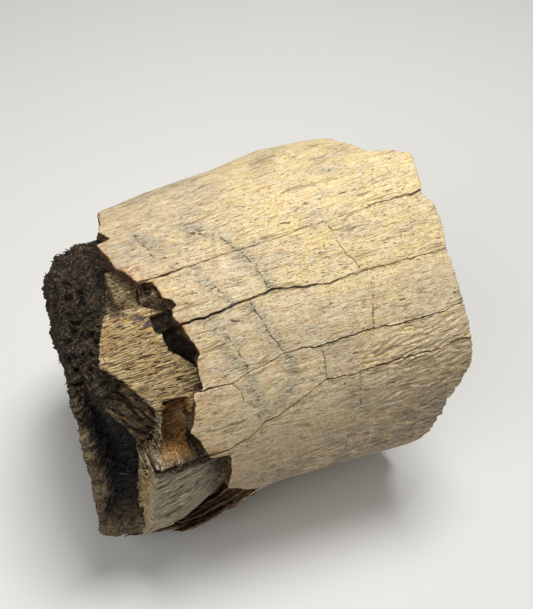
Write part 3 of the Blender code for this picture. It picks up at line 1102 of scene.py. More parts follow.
CRACK_TOP = Crack(
    ((-19, 75), (-14.2, 75), (-7.8, 75.5), (-0.8, 75.5), (7.5, 75.5), (17.5, 76), (28.8, 76.5), (36, 76)),
    ((-19, 0.2), (-12, 0.17), (-4, 0.14), (6, 0.12), (20, 0.1), (28, 0.15), (36, 0.2)),
)
CRACK_UPPER = Crack(
    (
        (-15, 57.5), (-11, 57.5), (-7.2, 58), (-2.5, 59), (2.8, 59.5), (7.8, 58), (13.2, 56.5),
        (17.2, 57), (23, 57), (28.2, 56.5), (36.5, 56),
    ),
    ((-15, 0.36), (-8, 0.27), (-2, 0.2), (4, 0.16), (12, 0.13), (20, 0.1), (36, 0.08)),
)
CRACK_MIDDLE = Crack(
    (
        (-14.5, 35.5), (-8.5, 35), (-5.2, 37), (-0.2, 38.5), (1.8, 39.5), (5, 39.5), (8.8, 38.5),
        (14.2, 39), (19, 39), (25, 38), (31.8, 38), (37.5, 39),
    ),
    ((-14, 0.26), (-8, 0.13), (0, 0.14), (6, 0.2), (12, 0.21), (24, 0.2), (31, 0.16), (37, 0.1)),
)
CRACK_LOWER = Crack(
    (
        (-12, 11), (-10.8, 11.5), (-7.5, 13.5), (-5.2, 16), (-4, 18.5), (-1.8, 19), (1.2, 21.5),
        (5, 24.5), (8.5, 27), (13, 26.5), (22.5, 27), (31, 26.5), (37.5, 28),
    ),
    ((-12, 0.34), (-8, 0.26), (-4, 0.19), (4, 0.17), (12, 0.2), (25, 0.17), (37, 0.14)),
)
SEAM_UNDER = Crack(((-31, -62), (-10, -64), (8, -63), (22, -65), (36, -64)), ((-30, 0.16), (36, 0.1)))
SEAM_BACK = Crack(((-24, 124), (-8, 126), (10, 125), (24, 127), (36, 126)), ((-24, 0.18), (36, 0.1)))


@dataclass(frozen=True)
class Plate:
    """One plate of the outer layer, between two cracks, with grooves for the cracks inside it.

    Attributes:
        name: what the piece is called.
        low, high: the cracks that bound it.
        turns: degrees added to each, for a plate that passes round the back.
        grooves: cracks inside it.
        step: the distance between its points in mm.
        seed: what fixes its noise.
        lift: how far it stands out of the plain shaft in mm.
    """

    name: str
    low: Crack
    high: Crack
    turns: tuple[float, float] = (0.0, 0.0)
    grooves: tuple[Crack, ...] = ()
    step: float = 0.19
    seed: int = 1
    lift: float = 0.0

    def edges(self) -> list[tuple[Crack, float]]:
        """Lists the plate's cracks from the lowest angle up, each with its added turn."""
        inner = [(groove, 0.0) for groove in self.grooves]
        return [(self.low, self.turns[0]), *inner, (self.high, self.turns[1])]


@dataclass(frozen=True)
class Column:
    """Where a column of points runs between two cracks.

    Attributes:
        between: the number of the crack that it follows or that lies below it.
        share: how far it is on the way to the next.
        widths: its offset from there, in widths of its crack.
        extra: a further offset in mm.
        sink: how deep it lies, as a share of a groove's depth.
    """

    between: int
    share: float
    widths: float = 0.0
    extra: float = 0.0
    sink: float = 0.0


# The columns beside a crack, as (offset in widths, further offset in mm, sink): above the
# crack that bounds a plate from below, across a crack inside it, and below the one above.
LOW_SIDE = ((0.5, 0.0, 1.0), (0.5, 0.0, 0.08), (0.5, 0.13, 0.0))
GROOVE = ((-0.5, -0.1, 0.0), (-0.5, 0.0, 0.12), (0.0, 0.0, 1.0), (0.5, 0.0, 0.12), (0.5, 0.1, 0.0))
HIGH_SIDE = ((-0.5, -0.13, 0.0), (-0.5, 0.0, 0.08), (-0.5, 0.0, 1.0))


@dataclass(frozen=True)
class OuterLayer:
    """The weathered outer layer: plates of cortex with a worn, fibrous face and broken walls."""

    plates: tuple[Plate, ...] = (
        Plate("outer_layer_lower", SEAM_UNDER, CRACK_LOWER, step=0.2, seed=11, lift=-0.02),
        Plate("outer_layer_middle", CRACK_LOWER, CRACK_UPPER, grooves=(CRACK_MIDDLE,), step=0.18, seed=12),
        Plate(
            "outer_layer_upper", CRACK_UPPER, SEAM_BACK, grooves=(CRACK_TOP,), step=0.19, seed=13, lift=0.05
        ),
        Plate("outer_layer_back", SEAM_BACK, SEAM_UNDER, turns=(0.0, 360.0), step=0.42, seed=14),
    )
    wall_depth: float = 5.6
    chip_height: float = 0.42
    band_reach: float = 1.25
    edge_depth: float = 0.16
    edge_reach: float = 0.16
    rim_reach: float = 0.75
    undercut: float = 0.8
    wall_rows: int = 14
    far_wall_rows: int = 9
    far_paleness: float = 0.65
    groove_depth: float = 0.9
    groove_width: float = 0.16
    crack_wander: float = 0.5
    side_wall_depth: float = 1.6
    counted_at: float = 8.0
    near_sweep: tuple[float, float] = (-31.0, -2.0)
    far_sweep: tuple[float, float] = (26.0, 41.0)
    search_step: float = 0.04
    bands: tuple[Path, ...] = (
        ((-16.8, 96), (-15, 89), (-14.2, 84), (-15.5, 82)),
        ((-9.2, 73), (-7.8, 67), (-6, 62), (-4.8, 59)),
        ((-9.2, 56), (-8.2, 50), (-7.8, 44), (-5.5, 37)),
        ((-5.5, 38), (-4.8, 30), (-4, 25), (-3.8, 20)),
        ((-7.5, 92), (-6.2, 88), (-2, 80), (-1.2, 76)),
        ((0, 74), (1.5, 69), (2.5, 64), (2.5, 60)),
        ((-1.8, 57), (-0.5, 49), (0.8, 46), (2.2, 39)),
        ((2.2, 39), (2.5, 33), (1.5, 28), (-0.8, 23)),
    )
    fine_cracks: tuple[Path, ...] = (
        ((-1.8, 58), (-1, 54), (0.2, 46), (1.2, 43), (1.8, 39.5)),
        ((-2.5, 82), (-1.5, 78), (0, 74), (1.2, 68), (2, 63), (2.5, 59.5)),
        ((-16.8, 95), (-16.2, 90), (-15.5, 86), (-15, 82)),
        ((-6.8, 66), (-5.8, 63), (-5, 59.5)),
        ((-7.2, 50), (-6.5, 46), (-5.8, 42), (-5, 38)),
        ((-8.5, 35), (-7.2, 31.5), (-7.2, 28), (-5.5, 25.5), (-4.8, 19.5)),
        ((8.5, 39), (8.8, 34), (8.5, 27)),
        ((20.2, 49), (19.2, 43), (18.8, 38)),
        ((15, 27), (14.5, 14)),
        ((12.2, 1.5), (12, -7.5)),
        ((16.8, 74), (17, 68), (17.8, 63), (18.8, 61), (19.2, 58)),
        ((11, 58), (14.8, 60)),
    )
    hair_cracks: tuple[Path, ...] = (
        ((-12.8, 66), (-4, 65.6), (5.5, 66), (11, 64), (21, 64)),
        ((-17, 94), (-9, 95), (-3, 96)),
        ((-3, 82), (7, 82)),
        ((7.5, 90), (12.5, 92), (19, 94), (22, 95)),
        ((15.5, 82), (21.2, 84), (27.5, 84)),
        ((28.5, 80), (33, 80)),
    )
    dashes: tuple[Path, ...] = (
        ((9, 80), (10.2, 79.2)), ((-5.8, 54), (-4.4, 53.2)), ((8.6, 80), (9.4, 80)), ((21.2, 84), (22.4, 84)),
        ((24.8, 45), (25.8, 45)), ((14.2, 33), (15, 33)),
    )
    pits: tuple[Point, ...] = (
        (-6.9, 87.0, 0.6), (-5.9, 85.8, 0.45), (-7.6, 87.8, 0.35), (-13.4, 81.0, 0.35),
        (-15.2, 83.5, 0.45), (27.0, 62.0, 0.35), (8.6, 27.4, 0.4),
    )

    def build(self, finishes: list[Material]) -> list[Object]:
        """Makes every plate, in the weathered finish and the broken one."""
        return [self._skin(plate).build(plate.name, finishes) for plate in self.plates]

    def _columns(self, plate: Plate) -> list[Column]:
        """Spreads a plate's columns between its cracks, close together beside each crack.

        Args:
            plate: the plate.

        Returns:
            Its columns in order round the shaft.
        """
        edges = plate.edges()
        columns = [Column(0, 0.0, *offsets) for offsets in LOW_SIDE]
        for number, ((low, low_turn), (high, high_turn)) in enumerate(zip(edges, edges[1:])):
            span = high.angle(self.counted_at) + high_turn - low.angle(self.counted_at) - low_turn
            count = max(2, round(span * SHAFT.arc_per_degree / plate.step))
            columns += [Column(number, index / count) for index in range(1, count)]
            if number < len(edges) - 2:
                columns += [Column(number + 1, 0.0, *offsets) for offsets in GROOVE]
        return columns + [Column(len(edges) - 1, 0.0, *offsets) for offsets in HIGH_SIDE]

    def _angles(self, plate: Plate, columns: list[Column], along: Array) -> Array:
        """Finds the angle of each column at places along X.

        Args:
            plate: the plate.
            columns: its columns.
            along: rows x columns of places along X.

        Returns:
            Angles, rows x columns.
        """
        lines = []
        widths = []
        for crack, turn in plate.edges():
            row = 3.1 * crack.path[0][1]
            wander = self.crack_wander * Noise(7).layered(spots(along / 3.0, row, row), 4, 0.6)
            lines.append(crack.angle(along) + turn + wander / SHAFT.arc_per_degree)
            ragged = 1.0 + 0.55 * Noise(8).smooth(spots(along / 2.3, row, row))
            widths.append(crack.width(along) * ragged)
        angle = np.empty(np.shape(along))
        for index, column in enumerate(columns):
            low = lines[column.between][:, index]
            high = lines[min(column.between + 1, len(lines) - 1)][:, index]
            offset = column.widths * widths[column.between][:, index] + column.extra
            angle[:, index] = low + (high - low) * column.share + offset / SHAFT.arc_per_degree
        return angle

    def _meet(self, plate: Plate, columns: list[Column], outline: Path, near: bool) -> Array:
        """Finds where each column meets one of the shaft's two ragged rims.

        Args:
            plate: the plate.
            columns: its columns.
            outline: the rim.
            near: whether it is the one towards -X.

        Returns:
            The place along X, for each column.
        """
        sweep = np.arange(*(self.near_sweep if near else self.far_sweep), self.search_step)
        along = np.repeat(sweep[:, None], len(columns), axis=1)
        angle = self._angles(plate, columns, along)
        arc = angle * SHAFT.arc_per_degree
        chips = self.chip_height * Noise(21).layered(spots(arc / 1.5, 2.5 if near else 7.5, 0.0), 4, 0.7)
        if near:
            chips *= 1.0 + 1.8 * within(np.abs(angle + 50.0), 16.0, 6.0)
        else:
            chips *= 1.0 + 0.9 * within(np.abs(angle + 10.0), 26.0, 12.0)
        rim = read(outline, angle) + chips
        if near:
            outside = along < rim
            last = len(sweep) - 1 - np.argmax(outside[::-1], axis=0)
            return sweep[last]
        return sweep[np.argmax(along > rim, axis=0)]

    def _skin(self, plate: Plate) -> Skin:
        """Lays out a plate's points: its near wall, its face and its far wall.

        Args:
            plate: the plate.

        Returns:
            The plate's grid, closed through its underside.
        """
        columns = self._columns(plate)
        near = self._meet(plate, columns, RAGGED_RIM, True)
        far = self._meet(plate, columns, FAR_RIM, False)
        rows = round(float(np.median(far - near)) / plate.step)
        share = np.linspace(0.0, 1.0, rows)[:, None]
        along = near + (far - near) * share
        angle = self._angles(plate, columns, along)
        relief, masks = self._face(along, angle)
        grain = Noise(9)
        arc = angle * SHAFT.arc_per_degree
        groove, dark = self._grooves(plate, columns, along, grain.smooth(spots(along / 1.7, arc / 9.0, 0.0)))
        depth = groove + relief * (1.0 - np.array([column.sink for column in columns])) - plate.lift
        depth += self.edge_depth * np.exp(-np.minimum(along - near, far - along) / self.edge_reach)
        masks[Mask.CRACK] = np.maximum(masks[Mask.CRACK], dark)
        fringe = rise(grain.smooth(spots(along / 6.0, arc / 2.5, 3.0)), -0.4, 0.3)
        masks[Mask.RIM] = np.exp(-(along - near) / self.rim_reach) * fringe
        first = self._wall(plate, near, angle[0], depth[0], True)
        last = self._wall(plate, far, angle[-1], depth[-1], False)
        parts = [tuple(part[::-1] for part in first), (along, angle, depth), last]
        along, angle, depth = (np.concatenate(group) for group in zip(*parts))
        ends = ((len(first[0]), len(last[0])), (0, 0))
        total = len(along)
        masks = {mask: np.pad(values, ends) for mask, values in masks.items()}
        masks[Mask.PALE] = np.zeros(along.shape)
        masks[Mask.PALE][-self.far_wall_rows:] = self.far_paleness
        return Skin(
            SHAFT.place(along, angle, depth), SHAFT.lay(along, angle, depth), masks,
            grid_map(total, len(columns)), rows_closed=True,
            broken_rows=(*range(self.wall_rows), *range(total - self.far_wall_rows - 1, total)),
        )

    def _grooves(
        self, plate: Plate, columns: list[Column], along: Array, breaks: Array
    ) -> tuple[Array, Array]:
        """Works out how deep a plate's cracks are, and how dark.

        Args:
            plate: the plate.
            columns: its columns.
            along: rows x columns of places along X.
            breaks: noise that lightens a crack here and there.

        Returns:
            Depths in mm, and shares from 0 to 1.
        """
        sink = np.array([column.sink for column in columns])
        crack_number = np.array([column.between for column in columns])
        side = np.isin(crack_number, (0, len(plate.grooves) + 1))
        groove = np.where(side, self.side_wall_depth, self.groove_depth) * sink
        width = np.ones_like(along)
        for number, (crack, _) in enumerate(plate.edges()):
            chosen = (crack_number == number) & (sink > 0.0)
            width[:, chosen] = np.clip(crack.width(along[:, chosen]) / self.groove_width, 0.25, 1.5)
        dark = np.where(sink > 0.5, 1.0, np.where(sink > 0.0, 0.5, 0.0))
        dark = dark * np.clip(0.5 + 0.5 * rise(breaks, -0.5, 0.2) + 0.7 * (width - 0.8), 0.0, 1.0)
        return np.where(side, groove, groove * width), dark

    def _wall(
        self, plate: Plate, rim: Array, angle: Array, depth: Array, near: bool
    ) -> tuple[Array, Array, Array]:
        """Lays out a broken wall, from just under the plate's edge down.

        Args:
            plate: the plate.
            rim: the edge's place along X, for each column.
            angle: the edge's angles.
            depth: the edge's depths.
            near: whether it is the wall towards -X.

        Returns:
            Places along X, angles and depths, each as rows x columns.
        """
        rows = self.wall_rows if near else self.far_wall_rows
        share = (np.arange(rows) + 1.0)[:, None] / rows
        bottom = np.full(len(rim), self.wall_depth)
        if near:
            bottom = np.maximum(bottom, inner_depth(rim + self.undercut, angle) + 1.2)
        angle = in_rows(angle, rows)
        down = depth + (np.maximum(bottom, depth + 0.5) - depth) * share
        arc = angle * SHAFT.arc_per_degree
        grain = Noise(plate.seed + 40)
        spot = spots(arc / 1.4, down / 0.9, 3.0 if near else 9.0)
        rough = 0.42 * grain.layered(spot, 4, 0.6)
        level = np.floor(down / 1.05 + 0.5 * grain.smooth(spot * 0.4))
        steps = 0.55 * grain.smooth(spots(arc / 2.6, level * 7.7, 1.5))
        fade = np.minimum(share * 5.0, 1.0)
        inward = self.undercut * share + (rough + steps) * fade
        along = rim + inward if near else rim - 0.5 * share * self.undercut + (rough + steps) * fade * 0.8
        return along, angle, down

    def _face(self, along: Array, angle: Array) -> tuple[Array, dict[Mask, Array]]:
        """Works out the worn face: how deep each point lies, and its masks.

        Args:
            along: places along X.
            angle: angles round the shaft.

        Returns:
            Depths in mm, and the masks.
        """
        grain = Noise(3)
        arc = angle * SHAFT.arc_per_degree
        spot = spots(along, arc, 0.0)
        depth = -0.22 * grain.smooth(spot / 15.0) - 0.12 * grain.smooth(spot / (11.0, 4.0, 1.0) + 5.0)
        depth -= 0.09 * grain.layered(spot / (9.0, 1.9, 1.0), 3)
        bend = 0.5 * grain.smooth(spot / (5.0, 3.0, 1.0) + 31.0)
        fibre = grain.layered(spots(along / 5.0, arc / 0.8 + bend, 0.0), 3, 0.75)
        lower = within(angle, 58.0, 40.0) * rise(angle, -100.0, -70.0)
        depth += (0.05 + 0.22 * lower) * (np.abs(fibre) - 0.35)
        wrinkle_area = rise(along, 8.0, 26.0) * within(np.abs(angle - 10.0), 34.0, 16.0)
        slanted = (arc - 0.12 * along) / 0.85
        wavy = grain.layered(spots(along / 6.0 + 0.6 * bend, slanted + 1.6 * bend, 4.0), 2, 0.35)
        depth += 0.85 * wrinkle_area * (np.abs(wavy) - 0.3)
        band = self._bands(along, angle, grain, spot)
        pits = grain.layered(spot / (0.8, 0.55, 1.0) + 9.0, 3, 0.65)
        depth += band * (0.04 + 0.16 * rise(pits, 0.0, 0.5))
        crack, hair = self._small_cracks(along, angle, grain, spot)
        depth += 0.14 * np.maximum(crack, within(hair, 0.25, 0.2))
        split = grain.layered(spots(along / 14.0, arc / 1.2 + 0.7 * bend, 70.0), 2)
        closed = 1.0 - rise(grain.smooth(spot / (8.0, 2.6, 1.0) + 15.0), 0.0, 0.3)
        split = split + np.where(split < 0.0, -0.4, 0.4) * closed
        warm = 0.3 + 0.7 * rise(-along, 2.0, 16.0) + 0.3 * grain.smooth(spot / 8.0 + 3.0)
        yellow = rise(along, -6.0, 14.0) * rise(angle, 44.0, 66.0) + 0.25 * grain.smooth(spot / 7.0 + 33.0)
        # The cool mask is grey-mauve stain and painted shade: stronger towards the underside and +X, and a
        # little on the top towards -X.
        cool = rise(0.5 * np.clip(along, -10.0, 30.0) - angle, -22.0, 24.0)
        cool = cool + 0.3 * rise(angle, 60.0, 90.0) * rise(-along, -12.0, 8.0)
        cool = cool + 0.28 * rise(grain.smooth(spot / 9.0 + 60.0), 0.1, 0.5)
        return depth, {
            Mask.CRACK: crack, Mask.HAIR: hair, Mask.SPLIT: split, Mask.PITTED: band,
            Mask.WARM: warm, Mask.YELLOW: yellow, Mask.COOL: cool,
        }

    def _small_cracks(
        self, along: Array, angle: Array, grain: Noise, spot: Array
    ) -> tuple[Array, Array]:
        """Works out the thin, broken cracks that cross a plate or run within it.

        Args:
            along: places along X.
            angle: angles round the shaft.
            grain: the face's noise.
            spot: its coordinates.

        Returns:
            Pits as shares from 0 to 1, and how far each place is from a crack, in mm, where
            a closed stretch of a crack counts as farther.
        """
        crack = np.zeros_like(along)
        hair = np.ones_like(along)
        jagged = 0.36 * grain.layered(spot / 1.0 + 50.0, 3, 0.7)
        kinked = 0.5 * grain.layered(spot / 1.4 + 90.0, 2, 0.7)
        open_here = rise(grain.smooth(spot / (1.7, 2.0, 1.0) + 77.0), -0.6, -0.05)
        for path in self.fine_cracks:
            gap = SHAFT.gap_to(along + jagged, angle + kinked, path)
            hair = np.minimum(hair, gap + 0.1 * (1.0 - open_here))
        for path in self.hair_cracks:
            gap = SHAFT.gap_to(along, angle + kinked, path)
            hair = np.minimum(hair, gap + 0.03 + 0.14 * (1.0 - open_here))
        for path in self.dashes:
            hair = np.minimum(hair, np.maximum(SHAFT.gap_to(along, angle, path) - 0.03, 0.0))
        for place, turn, reach in self.pits:
            aside = np.abs((angle - turn) * SHAFT.arc_per_degree + 0.4 * (along - place))
            gap = np.maximum(0.75 * np.abs(along - place), aside) + 1.1 * jagged
            crack = np.maximum(crack, 0.65 * within(gap, reach, 0.35))
        return crack, hair

    def _bands(self, along: Array, angle: Array, grain: Noise, spot: Array) -> Array:
        """Works out where weathering has pitted the face in broken, crosswise bands.

        Args:
            along: places along X.
            angle: angles round the shaft.
            grain: the face's noise.
            spot: its coordinates.

        Returns:
            Shares from 0 to 1.
        """
        drift = grain.layered(spot / (2.4, 3.4, 1.0) + 20.0, 2)
        total = np.zeros_like(along)
        for path in self.bands:
            gap = SHAFT.gap_to(along + 1.1 * drift, angle, path)
            total = np.maximum(total, np.exp(-((gap / self.band_reach) ** 2)))
        broken = 0.4 + 0.6 * rise(grain.layered(spot / (1.6, 1.4, 1.0) + 41.0, 3), -0.3, 0.15)
        return total * broken


def grid_map(rows: int, columns: int) -> Array:
    """Spreads a grid evenly over a UV map, clear of its edges."""
    ends = (MAP_MARGIN, 1.0 - MAP_MARGIN)
    return np.stack(np.meshgrid(np.linspace(*ends, columns), np.linspace(*ends, rows)), axis=-1)


def wheel_map(rows: int, columns: int) -> Array:
    """Spreads a grid that shrinks to a point over a UV map, as rings round its middle.

    Args:
        rows: how many rings it has, from the widest in.
        columns: how many columns.

    Returns:
        Places from 0 to 1, rows x one column more x 2.
    """
    turn = np.linspace(0.0, 2.0 * np.pi, columns + 1)
    reach = np.linspace(0.5 - MAP_MARGIN, 0.0, rows)[:, None]
    return spots(0.5 + reach * np.cos(turn), 0.5 + reach * np.sin(turn))


def inner_depth(along: Array, angle: Array) -> Array:
    """Gives the inner layer's depth below the outer surface, with its facets."""
    return facet_depth(along, angle, SOLID_LEDGE)[0]


def facet_depth(along: Array, angle: Array, ledge: float) -> tuple[Array, dict[Zone, Array]]:
    """Gives the inner layer's depth, and how far each kind of facet covers it.

    Args:
        along: places along X.
        angle: angles round the shaft.
        ledge: how wide a ledge between two facets is.

    Returns:
        Depths in mm, and a share for each zone.
    """
    depth = np.full(np.shape(along), INNER_DEPTH)
    cover = {zone: np.zeros(np.shape(along)) for zone in Zone}
    for facet in FACETS:
        flat = facet.start + facet.per_mm * (along - facet.outline[0][0])
        flat = flat + facet.per_degree * (angle - facet.outline[0][1])
        share = rise(SHAFT.inside(along, angle, facet.outline), -ledge / 2, ledge / 2)
        depth = depth + (flat - depth) * share
        for zone in Zone:
            cover[zone] = cover[zone] * (1.0 - share)
        cover[facet.zone] = cover[facet.zone] + share
    return depth, cover


@dataclass(frozen=True)
class InnerLayer:
    """The bared inner layer, with its ridges, broken facets, streaked slope, recess and block."""

    front: tuple[float, float, float] = (-48.0, 118.0, 0.32)
    back: tuple[float, float, float] = (118.0, 312.0, 1.0)
    rows: int = 112
    wall_rows: int = 9
    ledge: float = 0.3
    ridge_width: float = 0.56
    ridge_length: float = 6.5
    hole: Path = ((-20.9, 31.5), (-15.7, 31.5), (-16.8, 13.0), (-17.6, 4.0), (-23.8, 6.0))
    cream_strip: Path = ((-21.4, 28.0), (-22.6, 18.0), (-23.9, 9.0))
    slit: Path = ((-20.2, 31.8), (-16.6, 31.2))
    crystals: Path = ((-18.8, 21.0), (-17.5, 22.5), (-16.9, 22.0), (-17.0, 16.0))
    crumbly_end: Path = ((-25.2, 9.0), (-27.2, 0.0), (-28.8, -7.0), (-30.0, -15.0), (-30.5, -36.0))
    fissures: tuple[Path, ...] = (
        ((-24.9, 7.6), (-21.0, 6.2), (-17.8, 4.0), (-13.0, 2.2)), ((-22.0, 4.4), (-17.0, 1.6), (-12.5, 0.6)),
        ((-26.0, -4.0), (-19.0, -6.5)), ((-22.5, -10.5), (-14.0, -12.5)), ((-27.0, -19.0), (-18.0, -21.5)),
    )
    cream_ledge: Path = ((-24.8, 8.6), (-21.0, 7.2), (-17.6, 5.2), (-14.5, 4.2))
    purple: tuple[Path, ...] = (((-21.0, 66.5), (-19.6, 63)), ((-24.2, 70.5), (-23.4, 68.5)))
    orange: Path = ((-26.0, 63.0), (-18.0, 60.0))

    def build(self, finishes: list[Material]) -> Object:
        """Makes the inner layer, in the bared finish and the broken one."""
        return self._skin().build("inner_layer", finishes)

    def _skin(self) -> Skin:
        """Lays out the layer's points, from under the plates to its broken edge and down that.

        Returns:
            The layer's grid, closed round the shaft.
        """
        turn = np.concatenate([np.arange(*self.front), np.arange(*self.back)])
        arc = turn * SHAFT.arc_per_degree
        grain = Noise(31)
        ragged = 0.6 * grain.layered(spots(arc / 1.2, 2.0, 0.0), 4, 0.75)
        edge = read(DARK_EDGE, turn) + ragged
        start = read(INNER_START, turn)
        share = np.linspace(0.0, 1.0, self.rows)[:, None]
        along = start + (edge - start) * share
        angle = in_rows(turn, self.rows)
        depth, masks = self._face(along, angle, grain)
        depth += 0.35 * np.exp(-np.abs(along - edge) / 0.35)
        wall = self._wall(turn, edge, depth[-1], grain)
        along, angle, depth = (np.concatenate(pair) for pair in zip((along, angle, depth), wall))
        masks = {mask: np.pad(values, ((0, self.wall_rows), (0, 0))) for mask, values in masks.items()}
        masks[Mask.PALE][self.rows:] = within(np.abs(turn + 16.0), 26.0, 6.0)
        return Skin(
            SHAFT.place(along, angle, depth), SHAFT.lay(along, angle, depth), masks,
            self._map(len(along), turn), columns_closed=True,
            broken_rows=tuple(range(self.rows - 1, len(along))),
        )

    def _wall(self, turn: Array, edge: Array, depth: Array, grain: Noise) -> tuple[Array, ...]:
        """Lays out the rough wall that drops from the layer's edge into the dark bone.

        Args:
            turn: the angle of each column.
            edge: the edge's place along X.
            depth: the edge's depth.
            grain: the layer's noise.

        Returns:
            Places along X, angles and depths, each as rows x columns.
        """
        down = (np.arange(self.wall_rows) + 1.0)[:, None] / self.wall_rows
        foot = np.maximum(read(DARK_DEPTH, turn) + 2.5, depth + 1.0)
        wall_depth = depth + (foot - depth) * down
        angle = in_rows(turn, self.wall_rows)
        arc = angle * SHAFT.arc_per_degree
        rough = grain.layered(spots(arc / 1.2, wall_depth / 0.8, 0.0), 4, 0.6)
        height = 0.5 + 0.5 * within(np.abs(angle + 16.0), 24.0, 6.0)
        return edge + 1.2 * down + height * rough, angle, wall_depth

    def _map(self, rows: int, turn: Array) -> Array:
        """Lays the front of the layer over the lower part of a UV map and the back over the rest.

        Args:
            rows: how many rows the grid has.
            turn: the angle of each column.

        Returns:
            Places, rows x one column more x 2.
        """
        low, middle, _ = self.front
        turn = np.append(turn, self.back[1])
        front = turn < middle
        across = np.where(front, (turn - low) / (middle - low), (turn - middle) / (self.back[1] - middle))
        up = np.linspace(0.0, 1.0, rows)[:, None]
        height = np.where(front, 0.01 + 0.68 * up, 0.71 + 0.28 * up)
        return spots(MAP_MARGIN + (1.0 - 2.0 * MAP_MARGIN) * across, height)

    def _face(self, along: Array, angle: Array, grain: Noise) -> tuple[Array, dict[Mask, Array]]:
        """Works out the bared face: how deep each point lies, and its masks.

        Args:
            along: places along X.
            angle: angles round the shaft.
            grain: the layer's noise.

        Returns:
            Depths in mm, and the masks.
        """
        arc = angle * SHAFT.arc_per_degree
        spot = spots(along, arc, 0.0)
        jitter = 0.45 * grain.layered(spot / (1.8, 1.2, 1.0), 4, 0.7)
        shake = 0.5 * grain.layered(spot / (1.5, 1.2, 1.0) + 40.0, 4, 0.7) / SHAFT.arc_per_degree
        depth, cover = facet_depth(along + jitter, angle + shake, self.ledge)
        gutter, chip, pocket, slope, recess, block = (cover[zone] for zone in Zone)
        plain = 1.0 - sum(cover.values())
        bend = 0.4 * grain.smooth(spot / (5.0, 3.0, 1.0) + 12.0)
        # Ridges on the plain bone, slivers on the block, streaks on the slope, rubble elsewhere.
        gap, ridges = self._ridges(along, arc, bend, grain)
        level = np.floor(arc / 1.5 + 0.8 * bend)
        slivers = grain.smooth(spots(along / 7.0, 5.3 * level, 0.0))
        depth += plain * ridges + chip * 1.3 * ridges
        depth += block * (0.2 * ridges + 0.35 * slivers)
        streak = self._streaks(along, arc, bend, grain)
        depth += slope * 1.1 * streak
        rough = grain.layered(spot / 1.5 + 90.0, 4, 0.6)
        coarse = gutter + pocket + 0.6 * recess + 0.5 * chip
        depth += coarse * 0.45 * rough
        # The recess's slit, the block's top edge, crumbs along its end, and cream ledges.
        slit = within(SHAFT.gap_to(along, angle + shake * 0.3, self.slit), 0.6, 0.2)
        top_edge = within(SHAFT.gap_to(along, angle, self.cream_ledge), 2.8 + jitter, 1.2)
        crumbs = within(SHAFT.gap_to(along + jitter, angle, self.crumbly_end), 1.3, 0.8)
        ledge = within(SHAFT.gap_to(along + jitter, angle + shake, self.cream_ledge), 0.8, 0.5)
        ledge *= (1.0 - block) * within(depth, 3.4, 0.8)
        strip = within(SHAFT.gap_to(along + jitter, angle + shake, self.cream_strip), 0.6, 0.4)
        ledge = np.maximum(ledge, strip)
        first, second = grain.cells(spot / (0.9, 0.9, 1.0))
        knobs = rise(second - first, 0.0, 0.45)
        fissure = self._fissures(along + jitter, angle + 0.6 * shake, block, rough)
        depth += 1.6 * slit + 0.9 * fissure + np.maximum(crumbs, 0.7 * ledge) * 1.1 * (0.6 - knobs)
        # Where it is cracked, deep, stained and pale, and where painted shade falls: the pockets under the
        # rim, and the block's top edge and its end under the rim.
        crack = 0.8 * (plain + chip) * gap + slope * rise(streak, 0.15, 0.55)
        # Painted shade in the pockets under the rim.
        crack += pocket * (0.8 + 0.5 * rough) + gutter * rise(rough, 0.0, 0.4)
        crack += 0.7 * np.maximum(crumbs, ledge) * within(knobs, 0.45, 0.4)
        deep = slope + 0.9 * gutter + pocket + 0.75 * chip
        # Painted shade along the block's top edge and at its end under the rim.
        shade = np.maximum(0.95 * top_edge * rise(rough, -0.6, -0.05), 0.95 * rise(along, -17.0, -12.0))
        deep += block * shade
        hole = rise(SHAFT.inside(along + jitter, angle + shake, self.hole), -0.3, 0.3) * rise(depth, 2.2, 3.4)
        patches = [within(SHAFT.gap_to(along + jitter, angle, path), 1.3, 0.8) for path in self.purple]
        warm = within(SHAFT.gap_to(along, angle, self.orange), 5.0, 4.0)
        warm = warm + 0.2 + 0.4 * grain.smooth(spot / 4.0 + 8.0)
        warm = warm + 0.7 * within(np.abs(depth - 2.6), 1.2, 1.0) * (1.0 - block)
        crystals = within(SHAFT.gap_to(along + 0.5 * jitter, angle, self.crystals), 0.55, 0.4)
        pale = np.maximum(crystals, 0.9 * np.maximum(crumbs * rise(knobs, 0.3, 0.8), ledge))
        return depth, {
            Mask.CRACK: np.maximum(np.maximum(crack, slit), fissure),
            Mask.BLOCK: rise(block, 0.75, 1.0),
            Mask.RECESS: np.maximum(recess, hole),
            Mask.WARM: warm * plain,
            Mask.COOL: np.maximum(*patches),
            Mask.DEEP: deep,
            Mask.PALE: pale,
        }

    def _fissures(self, along: Array, angle: Array, cover: Array, rough: Array) -> Array:
        """Works out the block's splits: one under its top edge, the rest along its fibres.

        Args:
            along: places along X.
            angle: angles round the shaft.
            cover: how far the block covers each place.
            rough: noise that closes a split here and there.

        Returns:
            Shares from 0 to 1.
        """
        total = np.zeros(along.shape)
        for number, path in enumerate(self.fissures):
            reach = 0.6 if number == 0 else 0.2
            split = within(SHAFT.gap_to(along, angle, path), reach, 0.25)
            total = np.maximum(total, split)
        return total * cover * rise(rough, -0.5, 0.0)

